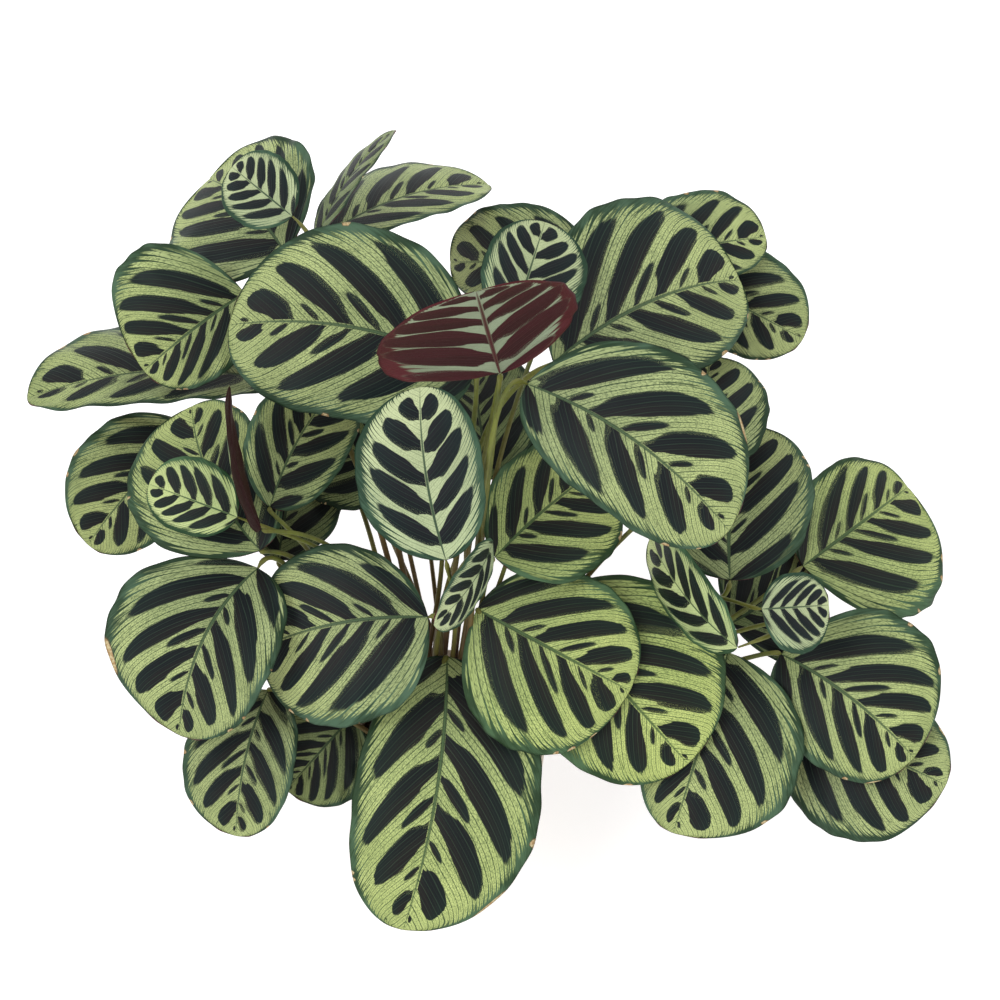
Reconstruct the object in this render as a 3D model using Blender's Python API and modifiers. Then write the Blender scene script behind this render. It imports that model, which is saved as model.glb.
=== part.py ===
"""Potted peacock plant: a round clay pot, its soil, and leaves that each grew as one piece.

Everything is in metres, +Z up, with the origin at the middle of the pot's underside.
Each leaf is one closed solid, lofted from the foot of its stalk to the tip of its blade.
A leaf's place is read along a sight line: two image points give where the blade starts and
ends as seen from the viewpoint below, and a height and a slant give the depth.
"""

import bmesh
import bpy
import numpy as np
from math import cos, pi, radians, sin, tan
from mathutils import Vector

# Driving sizes

POT_RIM_RADIUS = 0.062
POT_FOOT_RADIUS = 0.046
POT_HEIGHT = 0.122
POT_WALL = 0.0042
POT_FLOOR = 0.006
RIM_BAND_HEIGHT = 0.020
RIM_BAND_STEP = 0.0030
POT_LIP = 0.0015
POT_SIDES = 48

SOIL_TOP = 0.115
SOIL_EDGE_DROP = 0.003
SOIL_EDGE_ROUND = 0.002
SOIL_GAP = 0.0003
SOIL_SIDES = 40

BLADE_THICKNESS = 0.0008
RIB_THICKNESS = 0.0016
STALK_DEPTH = 0.014
STALK_RADIUS_LEAST = 0.0013
STALK_RADIUS_PER_WIDTH = 0.0075
JOINT_START = 0.88
JOINT_RISE = 0.08
JOINT_SWELLING = 0.25
HOLE_GAP = 0.0006
HOLE_SIDES = 10
HOLE_ABOVE = 0.010
CROWN_RADIUS = 0.040
CROWN_SPREAD = 0.25

# Viewpoint of the sight lines

VIEW_ELEVATION = radians(58.0)
VIEW_DISTANCE = 1.5
VIEW_SPAN = 0.60
IMAGE_PIXELS = 1000
IMAGE_CENTRE = IMAGE_PIXELS / 2
POT_PIXEL = (447, 740)
POT_DISTANCE = 1.06 * VIEW_DISTANCE

VIEW_BACK = np.array([0.0, -cos(VIEW_ELEVATION), sin(VIEW_ELEVATION)])
VIEW_RIGHT = np.array([1.0, 0.0, 0.0])
VIEW_UP = np.array([0.0, sin(VIEW_ELEVATION), cos(VIEW_ELEVATION)])

# Stations of the loft: along the stalk, along the blade, and from its left edge to its right

STALK_STATIONS = (0.0, 0.17, 0.34, 0.5, 0.66, 0.82, 1.0)
BLADE_STATIONS = (0.03, 0.12, 0.27, 0.44, 0.61, 0.78, 0.92, 1.0)
COLUMNS = (-1.0, -0.5, 0.0, 0.5, 1.0)
TIP_HALF_WIDTH = 0.0012

# The blade's outline is a blunt oval, widest a little before its middle

OVAL_LEAN = 1.04
OVAL_FULLNESS = 2.35
OVAL_BLUNTNESS = 0.52
EDGE_WAVES = 2.2
WAVE_SHARE = 0.4


def unit(vector):
    return vector / np.linalg.norm(vector)


def sight_line(pixel):
    """Direction from the eye through an image point, not yet of unit length."""
    scale = VIEW_SPAN / IMAGE_PIXELS
    right = (pixel[0] - IMAGE_CENTRE) * scale
    up = (IMAGE_CENTRE - pixel[1]) * scale
    return right * VIEW_RIGHT + up * VIEW_UP - VIEW_DISTANCE * VIEW_BACK


EYE = np.array([0.0, 0.0, SOIL_TOP]) - sight_line(POT_PIXEL) * POT_DISTANCE / VIEW_DISTANCE


class Leaf:
    """One leaf: where it sits, how its blade is shaped and how its stalk runs."""

    def __init__(self, name, base, height, tip, width, crown, kind="grown", slant=0.0, roll=0.0,
                 uneven=0.0, bend=0.0, arch=0.07, fold=0.12, cup=-0.16, wave=0.010, phase=0.0,
                 stalk=(0.35, 0.25, 0.9), swing=(0, 0, 0)):
        self.name = name
        self.base_pixel = base
        self.base_height = height / 1000
        self.tip_pixel = tip
        self.width = width / 1000
        self.crown = (crown[0] / 1000, crown[1] / 1000)
        self.kind = kind
        self.slant = radians(slant)
        self.roll = radians(roll)
        self.uneven = uneven
        self.bend = bend
        self.arch = arch
        self.fold = fold
        self.cup = cup
        self.wave = wave
        self.phase = phase
        self.rise, self.tail, self.dip = stalk
        self.swing = np.array(swing) / 1000
        self.set_frame()

    def set_frame(self):
        """Base, tip and the blade's own axes, from the two sight lines, the height and the slant."""
        line = unit(sight_line(self.base_pixel))
        self.base = EYE + line * ((self.base_height - EYE[2]) / line[2])
        toward = unit(EYE - self.base)
        line = unit(sight_line(self.tip_pixel))
        level = EYE + line * (((self.base - EYE) @ toward) / (line @ toward))
        self.tip = level - line * np.linalg.norm(level - self.base) * tan(self.slant)
        self.length = np.linalg.norm(self.tip - self.base)
        self.along = unit(self.tip - self.base)
        toward = unit(EYE - (self.base + self.tip) / 2)
        flat = unit(np.cross(self.along, toward))
        face = np.cross(flat, self.along)
        self.across = cos(self.roll) * flat + sin(self.roll) * face
        self.face = cos(self.roll) * face - sin(self.roll) * flat

    def stalk_radius(self, t):
        """Tapers upwards, and swells a little at the joint under the blade."""
        thick = STALK_RADIUS_LEAST + STALK_RADIUS_PER_WIDTH * self.width
        swelling = 1 + JOINT_SWELLING * np.clip((t - JOINT_START) / JOINT_RISE, 0, 1)
        return thick * (1.15 - 0.4 * t) * swelling


LEAVES = [
    # Middle of the plant
    Leaf("leaf_middle_large", (527, 384), 355, (729, 531), 98, (9, 9), slant=5, uneven=-0.13,
         bend=-0.07, stalk=(0.1, 0.25, 2.6), swing=(5, 5, 20)),
    Leaf("leaf_middle_raised", (500, 373), 385, (476, 291), 112, (2, 8), "young", slant=68, roll=180,
         uneven=0.1, fold=0.05, stalk=(0.1, 0.1, 0.3), swing=(5, -10, 0)),
    Leaf("leaf_middle_young", (446, 560), 300, (420, 387), 74, (-4, 7), "young", uneven=-0.1,
         cup=-0.1, bend=-0.04, stalk=(0.05, 0.15, -0.9), swing=(15, 45, 0)),
    Leaf("leaf_middle_low", (495, 557), 258, (602, 468), 84, (13, 14), slant=-32, uneven=0.13,
         bend=-0.03, stalk=(0.15, 0.05, 0.1), swing=(0, 35, -15)),
    Leaf("leaf_middle_curled", (493, 543), 274, (434, 625), 48, (10, -3), "young", slant=25, roll=64,
         stalk=(0.2, 0.05, -2.8), swing=(-55, 35, -30)),
    Leaf("leaf_middle_shaded", (488, 480), 262, (470, 350), 66, (-7, 12), slant=-35, uneven=0.1,
         stalk=(0.25, 0.05, 0.1), swing=(-25, 0, -5)),
    Leaf("leaf_middle_back", (592, 262), 300, (450, 262), 66, (9, 22), slant=-35, uneven=0.13,
         stalk=(0.3, 0.35, 2.6), swing=(-20, -5, -20)),
    Leaf("leaf_middle_top", (512, 326), 352, (545, 222), 62, (3, 20), "young", slant=-15, uneven=0.1,
         stalk=(0.25, 0.05, 0.5), swing=(-5, 0, 0)),
    Leaf("leaf_middle_dark", (520, 470), 250, (512, 372), 60, (6, 17), slant=-30,
         stalk=(0.3, 0.3, 0.1), swing=(0, 0, 0)),
    # Back right
    Leaf("leaf_backright_large", (554, 362), 318, (740, 280), 116, (16, 21), slant=-30, uneven=-0.13,
         bend=-0.07, stalk=(0.15, 0.3, -0.1), swing=(-5, 25, -20)),
    Leaf("leaf_backright_far", (634, 260), 301, (766, 237), 61, (21, 28), slant=-15, roll=15,
         uneven=-0.2, stalk=(0.1, 0.05, 0.1), swing=(15, 5, 30)),
    Leaf("leaf_backright_low", (690, 290), 250, (796, 306), 56, (27, 22), slant=-25,
         stalk=(0.1, 0.05, 0.1), swing=(0, 2, -10)),
    Leaf("leaf_backright_outer", (674, 270), 264, (803, 339), 67, (23, 15), slant=10, uneven=-0.1,
         stalk=(0.1, 0.05, 2.8), swing=(-3, -3, 0)),
    # Back left
    Leaf("leaf_backleft_far", (285, 252), 300, (209, 179), 114, (-13, 31), slant=-52, uneven=-0.1,
         bend=0.05, stalk=(0.35, 0.25, -0.3), swing=(-5, 0, 0)),
    Leaf("leaf_backleft_young", (292, 216), 345, (232, 167), 48, (-6, 31), "young", slant=-35,
         stalk=(0.15, 0.2, 0.1), swing=(-5, -5, -5)),
    Leaf("leaf_backleft_edge", (317, 238), 335, (394, 130), 38, (-1, 34), slant=-15, roll=70,
         stalk=(0.1, 0.55, -2.8), swing=(-20, 55, 0)),
    Leaf("leaf_backleft_pointed", (322, 238), 306, (488, 184), 80, (5, 28), slant=-20, roll=58,
         uneven=-0.2, bend=-0.03, stalk=(0.1, 0.25, -2.4), swing=(15, -25, -15)),
    Leaf("leaf_backleft_large", (475, 370), 318, (229, 325), 116, (-3, 22), slant=2, uneven=0.05,
         bend=0.08, stalk=(0.3, 0.05, 2.2), swing=(0, -25, -5)),
    Leaf("leaf_backleft_outer", (245, 293), 292, (144, 371), 93, (-19, 30), uneven=0.3, bend=0.02,
         stalk=(0.4, 0.05, 1.8), swing=(40, -5, 0)),
    Leaf("leaf_backleft_flat", (275, 381), 238, (27, 398), 88, (-25, 21), roll=-50, uneven=0.3,
         bend=0.03, stalk=(0.1, 0.35, -1.1), swing=(0, 5, 5)),
    # Left
    Leaf("leaf_left_outer", (195, 430), 205, (88, 545), 77, (-32, 17), slant=5, uneven=0.1,
         bend=0.04, stalk=(0.1, 0.05, 2.6), swing=(0, 0, 0)),
    Leaf("leaf_left_broad", (260, 550), 253, (192, 406), 90, (-30, 9), slant=-25, uneven=-0.15,
         bend=-0.08, stalk=(0.35, 0.05, -1.7), swing=(-5, 75, 5)),
    Leaf("leaf_left_young", (237, 517), 285, (149, 484), 46, (-20, 24), "young", slant=-15,
         uneven=0.1, stalk=(0.3, 0.4, -0.9), swing=(-20, 50, -5)),
    Leaf("leaf_left_edge", (260, 530), 282, (229, 386), 58, (-14, 11), slant=20, roll=97,
         stalk=(0.3, 0.05, -1.2), swing=(15, 85, -10)),
    Leaf("leaf_left_inner", (270, 507), 268, (340, 385), 62, (-21, 14), slant=-20, bend=-0.06,
         stalk=(0.05, 0.2, 1.6), swing=(-15, 70, 0)),
    Leaf("leaf_left_shaded", (278, 560), 212, (299, 430), 70, (-18, -4), slant=-35,
         stalk=(0.15, 0.05, 0.1), swing=(0, -15, 15)),
    Leaf("leaf_left_hidden", (404, 470), 234, (300, 430), 76, (-14, 19), slant=-15,
         stalk=(0.35, 0.25, 0.2), swing=(10, 0, 0)),
    # Front left
    Leaf("leaf_frontleft_outer", (258, 568), 239, (179, 735), 102, (-31, 0), slant=15, uneven=0.13,
         bend=0.1, stalk=(0.1, 0.2, 0.1), swing=(-5, 5, -5)),
    Leaf("leaf_frontleft_inner", (428, 617), 229, (258, 649), 110, (-8, 1), slant=-12, uneven=-0.13,
         bend=0.06, stalk=(0.15, 0.15, 0.1), swing=(-10, 40, 5)),
    Leaf("leaf_frontleft_low", (268, 690), 172, (236, 836), 68, (-25, -16), slant=5, uneven=0.1,
         bend=0.05, stalk=(0.1, 0.05, 2.6), swing=(0, 0, 35)),
    Leaf("leaf_frontleft_hidden", (352, 716), 148, (286, 790), 70, (-23, -7), stalk=(0.6, 0.05, 0.1),
         swing=(20, 0, 0)),
    # Front
    Leaf("leaf_front_large", (447, 656), 180, (403, 930), 115, (-28, -21), slant=3, uneven=-0.13,
         bend=-0.04, stalk=(0.55, 0.05, 4.4), swing=(-30, -45, -45)),
    Leaf("leaf_front_upper", (477, 609), 213, (630, 691), 115, (16, -15), uneven=0.13,
         stalk=(0.2, 0.05, 3.9), swing=(45, 5, -20)),
    Leaf("leaf_front_right", (543, 602), 196, (688, 764), 120, (17, -9), slant=3, uneven=-0.1,
         stalk=(0.15, 0.05, 0.1), swing=(-10, -15, -25)),
    Leaf("leaf_frontright_low", (728, 652), 165, (673, 833), 98, (24, -14), slant=10, uneven=-0.3,
         stalk=(0.45, 0.05, 3.2), swing=(-5, 0, 0)),
    # Right
    Leaf("leaf_right_large", (781, 654), 162, (914, 758), 106, (34, -6), slant=5, uneven=-0.13,
         bend=-0.05, stalk=(0.1, 0.05, 0.5), swing=(30, 10, 0)),
    Leaf("leaf_right_low", (793, 711), 126, (946, 785), 98, (31, -15), slant=10, uneven=0.2,
         stalk=(0.1, 0.05, 0.7), swing=(5, 0, 10)),
    Leaf("leaf_right_outer", (803, 566), 175, (908, 487), 110, (36, 5), slant=-35, uneven=0.25,
         stalk=(0.1, 0.1, 0.1), swing=(20, -20, 0)),
    Leaf("leaf_right_broad", (730, 580), 222, (745, 425), 112, (27, 7), slant=-20, uneven=-0.1,
         bend=-0.04, stalk=(0.1, 0.1, 0.1), swing=(67, 40, -5)),
    Leaf("leaf_right_back", (696, 475), 262, (710, 356), 80, (31, 14), slant=-30,
         stalk=(0.1, 0.05, 0.1), swing=(-5, 45, 15)),
    Leaf("leaf_right_folded", (737, 648), 228, (650, 538), 62, (24, -8), "young", slant=-15, roll=58,
         stalk=(0.05, 0.6, -6.2), swing=(5, 20, 45)),
    Leaf("leaf_right_young", (762, 609), 238, (829, 605), 49, (31, -1), "young", slant=-10, uneven=0.15,
         stalk=(0.3, 0.1, -1.1), swing=(15, 110, -30)),
    Leaf("leaf_right_hidden", (732, 623), 160, (812, 574), 92, (17, 10), slant=-20,
         stalk=(0.2, 0.05, -0.2), swing=(0, 5, 0)),
]


# Shape of a leaf


def outline(u):
    """Half width of a blade, from 0 to 1, at u from its base to its tip: a blunt oval."""
    along = np.clip(u, 0, 1) ** OVAL_LEAN
    return np.clip(1 - np.abs(2 * along - 1) ** OVAL_FULLNESS, 0, 1) ** OVAL_BLUNTNESS


def blade_point(leaf, u, v):
    """Point of the blade's upper face, v from -1 at its left edge to 1 at its right."""
    half = leaf.width / 2 * max(outline(u), 2 * TIP_HALF_WIDTH / leaf.width)
    x = half * v * (1 + leaf.uneven * np.sign(v))
    bow = 4 * u * (1 - u) * leaf.length
    ripple = sin(2 * pi * (EDGE_WAVES * u + leaf.phase + 0.25 * np.sign(v))) * v * v
    rise = leaf.arch * bow + leaf.fold * abs(x) + 2 * leaf.cup * x * x / leaf.width
    rise += WAVE_SHARE * leaf.wave * leaf.length * ripple
    on_rib = leaf.base + u * (leaf.tip - leaf.base)
    return on_rib + (x + leaf.bend * bow) * leaf.across + rise * leaf.face


def blade_normal(leaf, u, v):
    """Upwards from the blade, from the slopes of its upper face."""
    step = 0.01
    u = min(max(u, 0.05), 0.95)
    v = min(max(v, -0.95), 0.95)
    along = blade_point(leaf, u + step, v) - blade_point(leaf, u - step, v)
    across = blade_point(leaf, u, v + step) - blade_point(leaf, u, v - step)
    normal = unit(np.cross(across, along))
    return normal if normal @ leaf.face > 0 else -normal


def stalk_foot(leaf):
    """Where the stalk comes out of the soil, and the direction it takes."""
    outward = np.array([leaf.crown[0], leaf.crown[1], 0.0]) * CROWN_SPREAD / CROWN_RADIUS
    foot = np.array([leaf.crown[0], leaf.crown[1], SOIL_TOP])
    return foot, unit(outward + np.array([0.0, 0.0, 1.0]))


def stalk_point(leaf, t):
    """Centre of the stalk: up out of the soil, past a middle point, and into the base of the blade."""
    foot, start = stalk_foot(leaf)
    reach = np.linalg.norm(leaf.base - foot)
    ending = unit(leaf.along - leaf.dip * leaf.face)
    first = foot + start * reach * leaf.rise
    third = leaf.base - ending * reach * leaf.tail
    second = (first + third) / 2 + leaf.swing
    s = 1 - t
    lower = s**4 * foot + 4 * s**3 * t * first
    return lower + 6 * s * s * t * t * second + 4 * s * t**3 * third + t**4 * leaf.base


def stalk_rings(leaf):
    """Round sections from the foot up, turned so that the last one faces as the blade does."""
    foot, start = stalk_foot(leaf)
    centres = [foot - start * STALK_DEPTH] + [stalk_point(leaf, t) for t in STALK_STATIONS]
    radii = [leaf.stalk_radius(0)] + [leaf.stalk_radius(t) for t in STALK_STATIONS]
    side = leaf.across
    rings = []
    for k in reversed(range(len(centres))):
        before = centres[max(k - 1, 0)]
        after = centres[min(k + 1, len(centres) - 1)]
        heading = start if k < 2 else unit(after - before)
        side = unit(side - (side @ heading) * heading)
        up = np.cross(side, heading)
        ring = []
        for corner in range(2 * len(COLUMNS)):
            angle = pi - (corner + 0.5) * pi / len(COLUMNS)
            ring.append(centres[k] + radii[k] * (cos(angle) * side + sin(angle) * up))
        rings.insert(0, ring)
    return rings


def blade_rings(leaf):
    """Thin sections, the upper face from left to right and then the lower one back."""
    rings = []
    for u in BLADE_STATIONS:
        upper = [blade_point(leaf, u, v) for v in COLUMNS]
        lower = []
        for v, point in zip(COLUMNS, upper):
            thick = BLADE_THICKNESS if v else RIB_THICKNESS * (1 - 0.4 * u)
            lower.insert(0, point - thick * blade_normal(leaf, u, v))
        rings.append(upper + lower)
    return rings


def loft(name, rings, collection, material):
    """A closed skin over rings of equal count, with the same diagonals on both faces of the blade."""
    mesh = bmesh.new()
    levels = [[mesh.verts.new(point) for point in ring] for ring in rings]
    count = len(rings[0])
    for low, high in zip(levels, levels[1:]):
        for k in range(count):
            n = (k + 1) % count
            a, b, c, d = low[k], low[n], high[n], high[k]
            if k < count // 2:
                mesh.faces.new((a, b, c))
                mesh.faces.new((a, c, d))
            else:
                mesh.faces.new((a, b, d))
                mesh.faces.new((b, c, d))
    mesh.faces.new(levels[0])
    for k in range(len(COLUMNS) - 1):
        upper = levels[-1][k], levels[-1][k + 1]
        lower = levels[-1][count - 2 - k], levels[-1][count - 1 - k]
        mesh.faces.new((*upper, *lower))
    bmesh.ops.recalc_face_normals(mesh, faces=mesh.faces)
    return add_object(name, mesh, collection, material)


def add_object(name, mesh, collection, material):
    data = bpy.data.meshes.new(name)
    mesh.to_mesh(data)
    mesh.free()
    data.shade_smooth()
    data.materials.append(material)
    obj = bpy.data.objects.new(name, data)
    collection.objects.link(obj)
    return obj


# Pot and soil


def turned(name, profile, sides, collection, material):
    """A profile of radius and height, from the top of the axis round to its bottom, turned full circle."""
    mesh = bmesh.new()
    verts = [mesh.verts.new((radius, 0.0, height)) for radius, height in profile]
    for a, b in zip(verts, verts[1:]):
        mesh.edges.new((a, b))
    obj = add_object(name, mesh, collection, material)
    screw = obj.modifiers.new("turn", "SCREW")
    screw.axis = "Z"
    screw.steps = sides
    screw.render_steps = sides
    screw.use_merge_vertices = True
    screw.merge_threshold = 0.00001
    return obj


def wall_radius(height):
    """Radius of the pot's outer wall below the rim band."""
    below = POT_HEIGHT - RIM_BAND_HEIGHT
    share = min(height / below, 1.0)
    return POT_FOOT_RADIUS + (POT_RIM_RADIUS - RIM_BAND_STEP - POT_FOOT_RADIUS) * share


def pot(collection, material):
    lip = POT_LIP
    band_foot = POT_HEIGHT - RIM_BAND_HEIGHT
    inner_top = POT_RIM_RADIUS - RIM_BAND_STEP - POT_WALL
    profile = [
        (0.0, POT_FLOOR),
        (wall_radius(POT_FLOOR) - POT_WALL - lip, POT_FLOOR),
        (wall_radius(POT_FLOOR) - POT_WALL, POT_FLOOR + lip),
        (wall_radius(band_foot) - POT_WALL, band_foot),
        (inner_top, POT_HEIGHT - lip),
        (inner_top + lip, POT_HEIGHT),
        (POT_RIM_RADIUS - lip, POT_HEIGHT),
        (POT_RIM_RADIUS, POT_HEIGHT - lip),
        (POT_RIM_RADIUS, band_foot + lip),
        (POT_RIM_RADIUS - lip, band_foot),
        (wall_radius(band_foot), band_foot),
        (POT_FOOT_RADIUS, lip),
        (POT_FOOT_RADIUS - lip, 0.0),
        (0.0, 0.0),
    ]
    return turned("pot", profile, POT_SIDES, collection, material)


def stalk_hole(leaf, collection):
    """A plain round cutter along the buried end of a stalk."""
    foot, start = stalk_foot(leaf)
    radius = (leaf.stalk_radius(0) + HOLE_GAP) / cos(pi / HOLE_SIDES)
    depth = STALK_DEPTH + SOIL_GAP
    mesh = bmesh.new()
    bmesh.ops.create_cone(mesh, cap_ends=True, segments=HOLE_SIDES, radius1=radius, radius2=radius,
                          depth=depth + HOLE_ABOVE)
    data = bpy.data.meshes.new(leaf.name + "_hole")
    mesh.to_mesh(data)
    mesh.free()
    cutter = bpy.data.objects.new(leaf.name + "_hole", data)
    cutter.rotation_mode = "QUATERNION"
    cutter.rotation_quaternion = Vector(start).to_track_quat("Z", "Y")
    cutter.location = foot + start * (HOLE_ABOVE - depth) / 2
    cutter.hide_render = True
    cutter.display_type = "WIRE"
    collection.objects.link(cutter)


def soil(collection, cutters, material):
    """Fills the pot to just below its rim, a little higher in the middle, with a hole for each stalk."""
    band_foot = POT_HEIGHT - RIM_BAND_HEIGHT
    inset = POT_WALL + SOIL_GAP
    floor = POT_FLOOR + SOIL_GAP
    top_radius = wall_radius(SOIL_TOP) - inset - SOIL_GAP
    floor_radius = wall_radius(POT_FLOOR) - inset - SOIL_EDGE_DROP
    profile = [
        (0.0, SOIL_TOP),
        (CROWN_RADIUS, SOIL_TOP),
        (top_radius - SOIL_EDGE_DROP, SOIL_TOP - SOIL_EDGE_DROP),
        (top_radius, SOIL_TOP - SOIL_EDGE_DROP - SOIL_EDGE_ROUND),
        (wall_radius(band_foot) - inset - SOIL_GAP, band_foot),
        (floor_radius, floor + SOIL_EDGE_ROUND),
        (floor_radius - SOIL_EDGE_DROP, floor),
        (0.0, floor),
    ]
    obj = turned("soil", profile, SOIL_SIDES, collection, material)
    cut = obj.modifiers.new("stalk holes", "BOOLEAN")
    cut.operation = "DIFFERENCE"
    cut.operand_type = "COLLECTION"
    cut.collection = cutters
    return obj


def material(name, colour, roughness, metallic=0.0):
    made = bpy.data.materials.new(name)
    made.use_nodes = True
    shader = made.node_tree.nodes["Principled BSDF"]
    shader.inputs["Base Color"].default_value = (*colour, 1.0)
    shader.inputs["Roughness"].default_value = roughness
    shader.inputs["Metallic"].default_value = metallic
    return made


def clear_scene():
    for obj in list(bpy.data.objects):
        bpy.data.objects.remove(obj, do_unlink=True)


def main():
    clear_scene()
    parts = bpy.data.collections.new("potted_peacock_plant")
    cutters = bpy.data.collections.new("stalk_holes")
    bpy.context.scene.collection.children.link(parts)
    bpy.context.scene.collection.children.link(cutters)
    clay = material("clay", (0.50, 0.44, 0.35), 0.85)
    earth = material("earth", (0.025, 0.017, 0.011), 0.95)
    green = {
        "grown": material("grown_leaf", (0.16, 0.27, 0.07), 0.45),
        "young": material("young_leaf", (0.33, 0.45, 0.16), 0.40),
    }
    pot(parts, clay)
    for leaf in LEAVES:
        stalk_hole(leaf, cutters)
        loft(leaf.name, stalk_rings(leaf) + blade_rings(leaf), parts, green[leaf.kind])
    soil(parts, cutters, earth)


main()
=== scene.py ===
# %% [markdown]
# A potted peacock plant: broad oval leaves on slender stalks, in a plain round clay pot.
#
# Every leaf grew as one piece, so each is one closed mesh here too: a waved blade and its own
# stalk. All of them follow the same rule, and only the numbers differ from leaf to leaf. That
# makes Geometry Nodes the right tool: the rule is built once as a node tree, and each leaf puts
# its own numbers into the tree's inputs. The leaf pattern is painted by the material from the
# blade's own coordinates, so it bends with the blade wherever the leaf goes.

from math import cos, pi, radians, sin, tan

import bmesh
import bpy
import numpy as np
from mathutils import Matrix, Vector


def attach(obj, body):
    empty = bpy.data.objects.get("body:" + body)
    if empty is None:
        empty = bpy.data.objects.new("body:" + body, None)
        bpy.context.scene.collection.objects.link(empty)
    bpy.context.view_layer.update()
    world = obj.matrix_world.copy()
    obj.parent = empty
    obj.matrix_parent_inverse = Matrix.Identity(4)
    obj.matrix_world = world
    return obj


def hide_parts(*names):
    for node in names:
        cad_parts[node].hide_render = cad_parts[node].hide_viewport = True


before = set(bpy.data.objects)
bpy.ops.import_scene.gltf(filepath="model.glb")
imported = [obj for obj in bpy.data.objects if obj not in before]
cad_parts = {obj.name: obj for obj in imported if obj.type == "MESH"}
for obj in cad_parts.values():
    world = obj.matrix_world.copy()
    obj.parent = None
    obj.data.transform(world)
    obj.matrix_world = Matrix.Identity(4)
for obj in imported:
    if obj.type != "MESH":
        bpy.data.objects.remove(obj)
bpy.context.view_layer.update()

# %% [markdown]
# The camera looks down at the plant at 58 degrees, because the photograph shows the foliage
# from above and in front. The places of the leaves were read along the same sight lines, so
# the camera's numbers and the leaves' numbers belong together.

# %% Camera
SOIL_TOP = 0.115
VIEW_ELEVATION = radians(58.0)
VIEW_DISTANCE = 1.5
VIEW_SPAN = 0.60
IMAGE_PIXELS = 1000
IMAGE_CENTRE = IMAGE_PIXELS / 2
POT_PIXEL = (447, 740)
POT_DISTANCE = 1.06 * VIEW_DISTANCE
SENSOR = 36.0
FAR_LIMIT = 60.0

VIEW_BACK = np.array([0.0, -cos(VIEW_ELEVATION), sin(VIEW_ELEVATION)])
VIEW_RIGHT = np.array([1.0, 0.0, 0.0])
VIEW_UP = np.array([0.0, sin(VIEW_ELEVATION), cos(VIEW_ELEVATION)])


def unit(vector):
    return vector / np.linalg.norm(vector)


def sight_line(pixel):
    """Direction from the eye through an image point, not yet of unit length."""
    scale = VIEW_SPAN / IMAGE_PIXELS
    right = (pixel[0] - IMAGE_CENTRE) * scale
    up = (IMAGE_CENTRE - pixel[1]) * scale
    return right * VIEW_RIGHT + up * VIEW_UP - VIEW_DISTANCE * VIEW_BACK


EYE = np.array([0.0, 0.0, SOIL_TOP]) - sight_line(POT_PIXEL) * POT_DISTANCE / VIEW_DISTANCE

lens = bpy.data.cameras.new("camera")
lens.lens = SENSOR * VIEW_DISTANCE / VIEW_SPAN
lens.sensor_width = SENSOR
lens.clip_end = FAR_LIMIT
camera = bpy.data.objects.new("camera", lens)
camera.location = EYE
camera.rotation_euler = (pi / 2 - VIEW_ELEVATION, 0.0, 0.0)
bpy.context.scene.collection.objects.link(camera)
bpy.context.scene.camera = camera
print("camera at", EYE.round(3), "lens", lens.lens)

# %% [markdown]
# A leaf is described by few numbers: where its blade starts and ends in the picture, how high the
# start lies, how far the blade leans away from the eye and how it is rolled, how wide and how
# uneven it is, and where its stalk leaves the soil. The same numbers made the solids of the
# model, so each fine leaf lies where its solid lies.

# %% The leaves of the plant
CROWN_SPREAD = 0.25
CROWN_RADIUS = 0.040


class Leaf:
    """One leaf: where it sits, how its blade is shaped and how its stalk runs."""

    def __init__(self, name, base, height, tip, width, crown, kind="grown", *, stalk, swing=(0, 0, 0),
                 slant=0.0, roll=0.0, uneven=0.0, bend=0.0, fold=0.12, cup=-0.16):
        self.name = name
        self.kind = kind
        self.width = width / 1000
        self.uneven, self.bend, self.fold, self.cup = uneven, bend, fold, cup
        self.crown = (crown[0] / 1000, crown[1] / 1000)
        self.rise, self.tail, self.dip = stalk
        self.swing = np.array(swing) / 1000
        self.set_frame(base, height / 1000, tip, radians(slant), radians(roll))

    def set_frame(self, base_pixel, base_height, tip_pixel, slant, roll):
        """Base, tip and the blade's own axes, from the two sight lines, the height and the slant."""
        line = unit(sight_line(base_pixel))
        self.base = EYE + line * ((base_height - EYE[2]) / line[2])
        toward = unit(EYE - self.base)
        line = unit(sight_line(tip_pixel))
        level = EYE + line * (((self.base - EYE) @ toward) / (line @ toward))
        self.tip = level - line * np.linalg.norm(level - self.base) * tan(slant)
        self.length = np.linalg.norm(self.tip - self.base)
        self.along = unit(self.tip - self.base)
        toward = unit(EYE - (self.base + self.tip) / 2)
        flat = unit(np.cross(self.along, toward))
        face = np.cross(flat, self.along)
        self.across = cos(roll) * flat + sin(roll) * face
        self.face = cos(roll) * face - sin(roll) * flat


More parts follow.
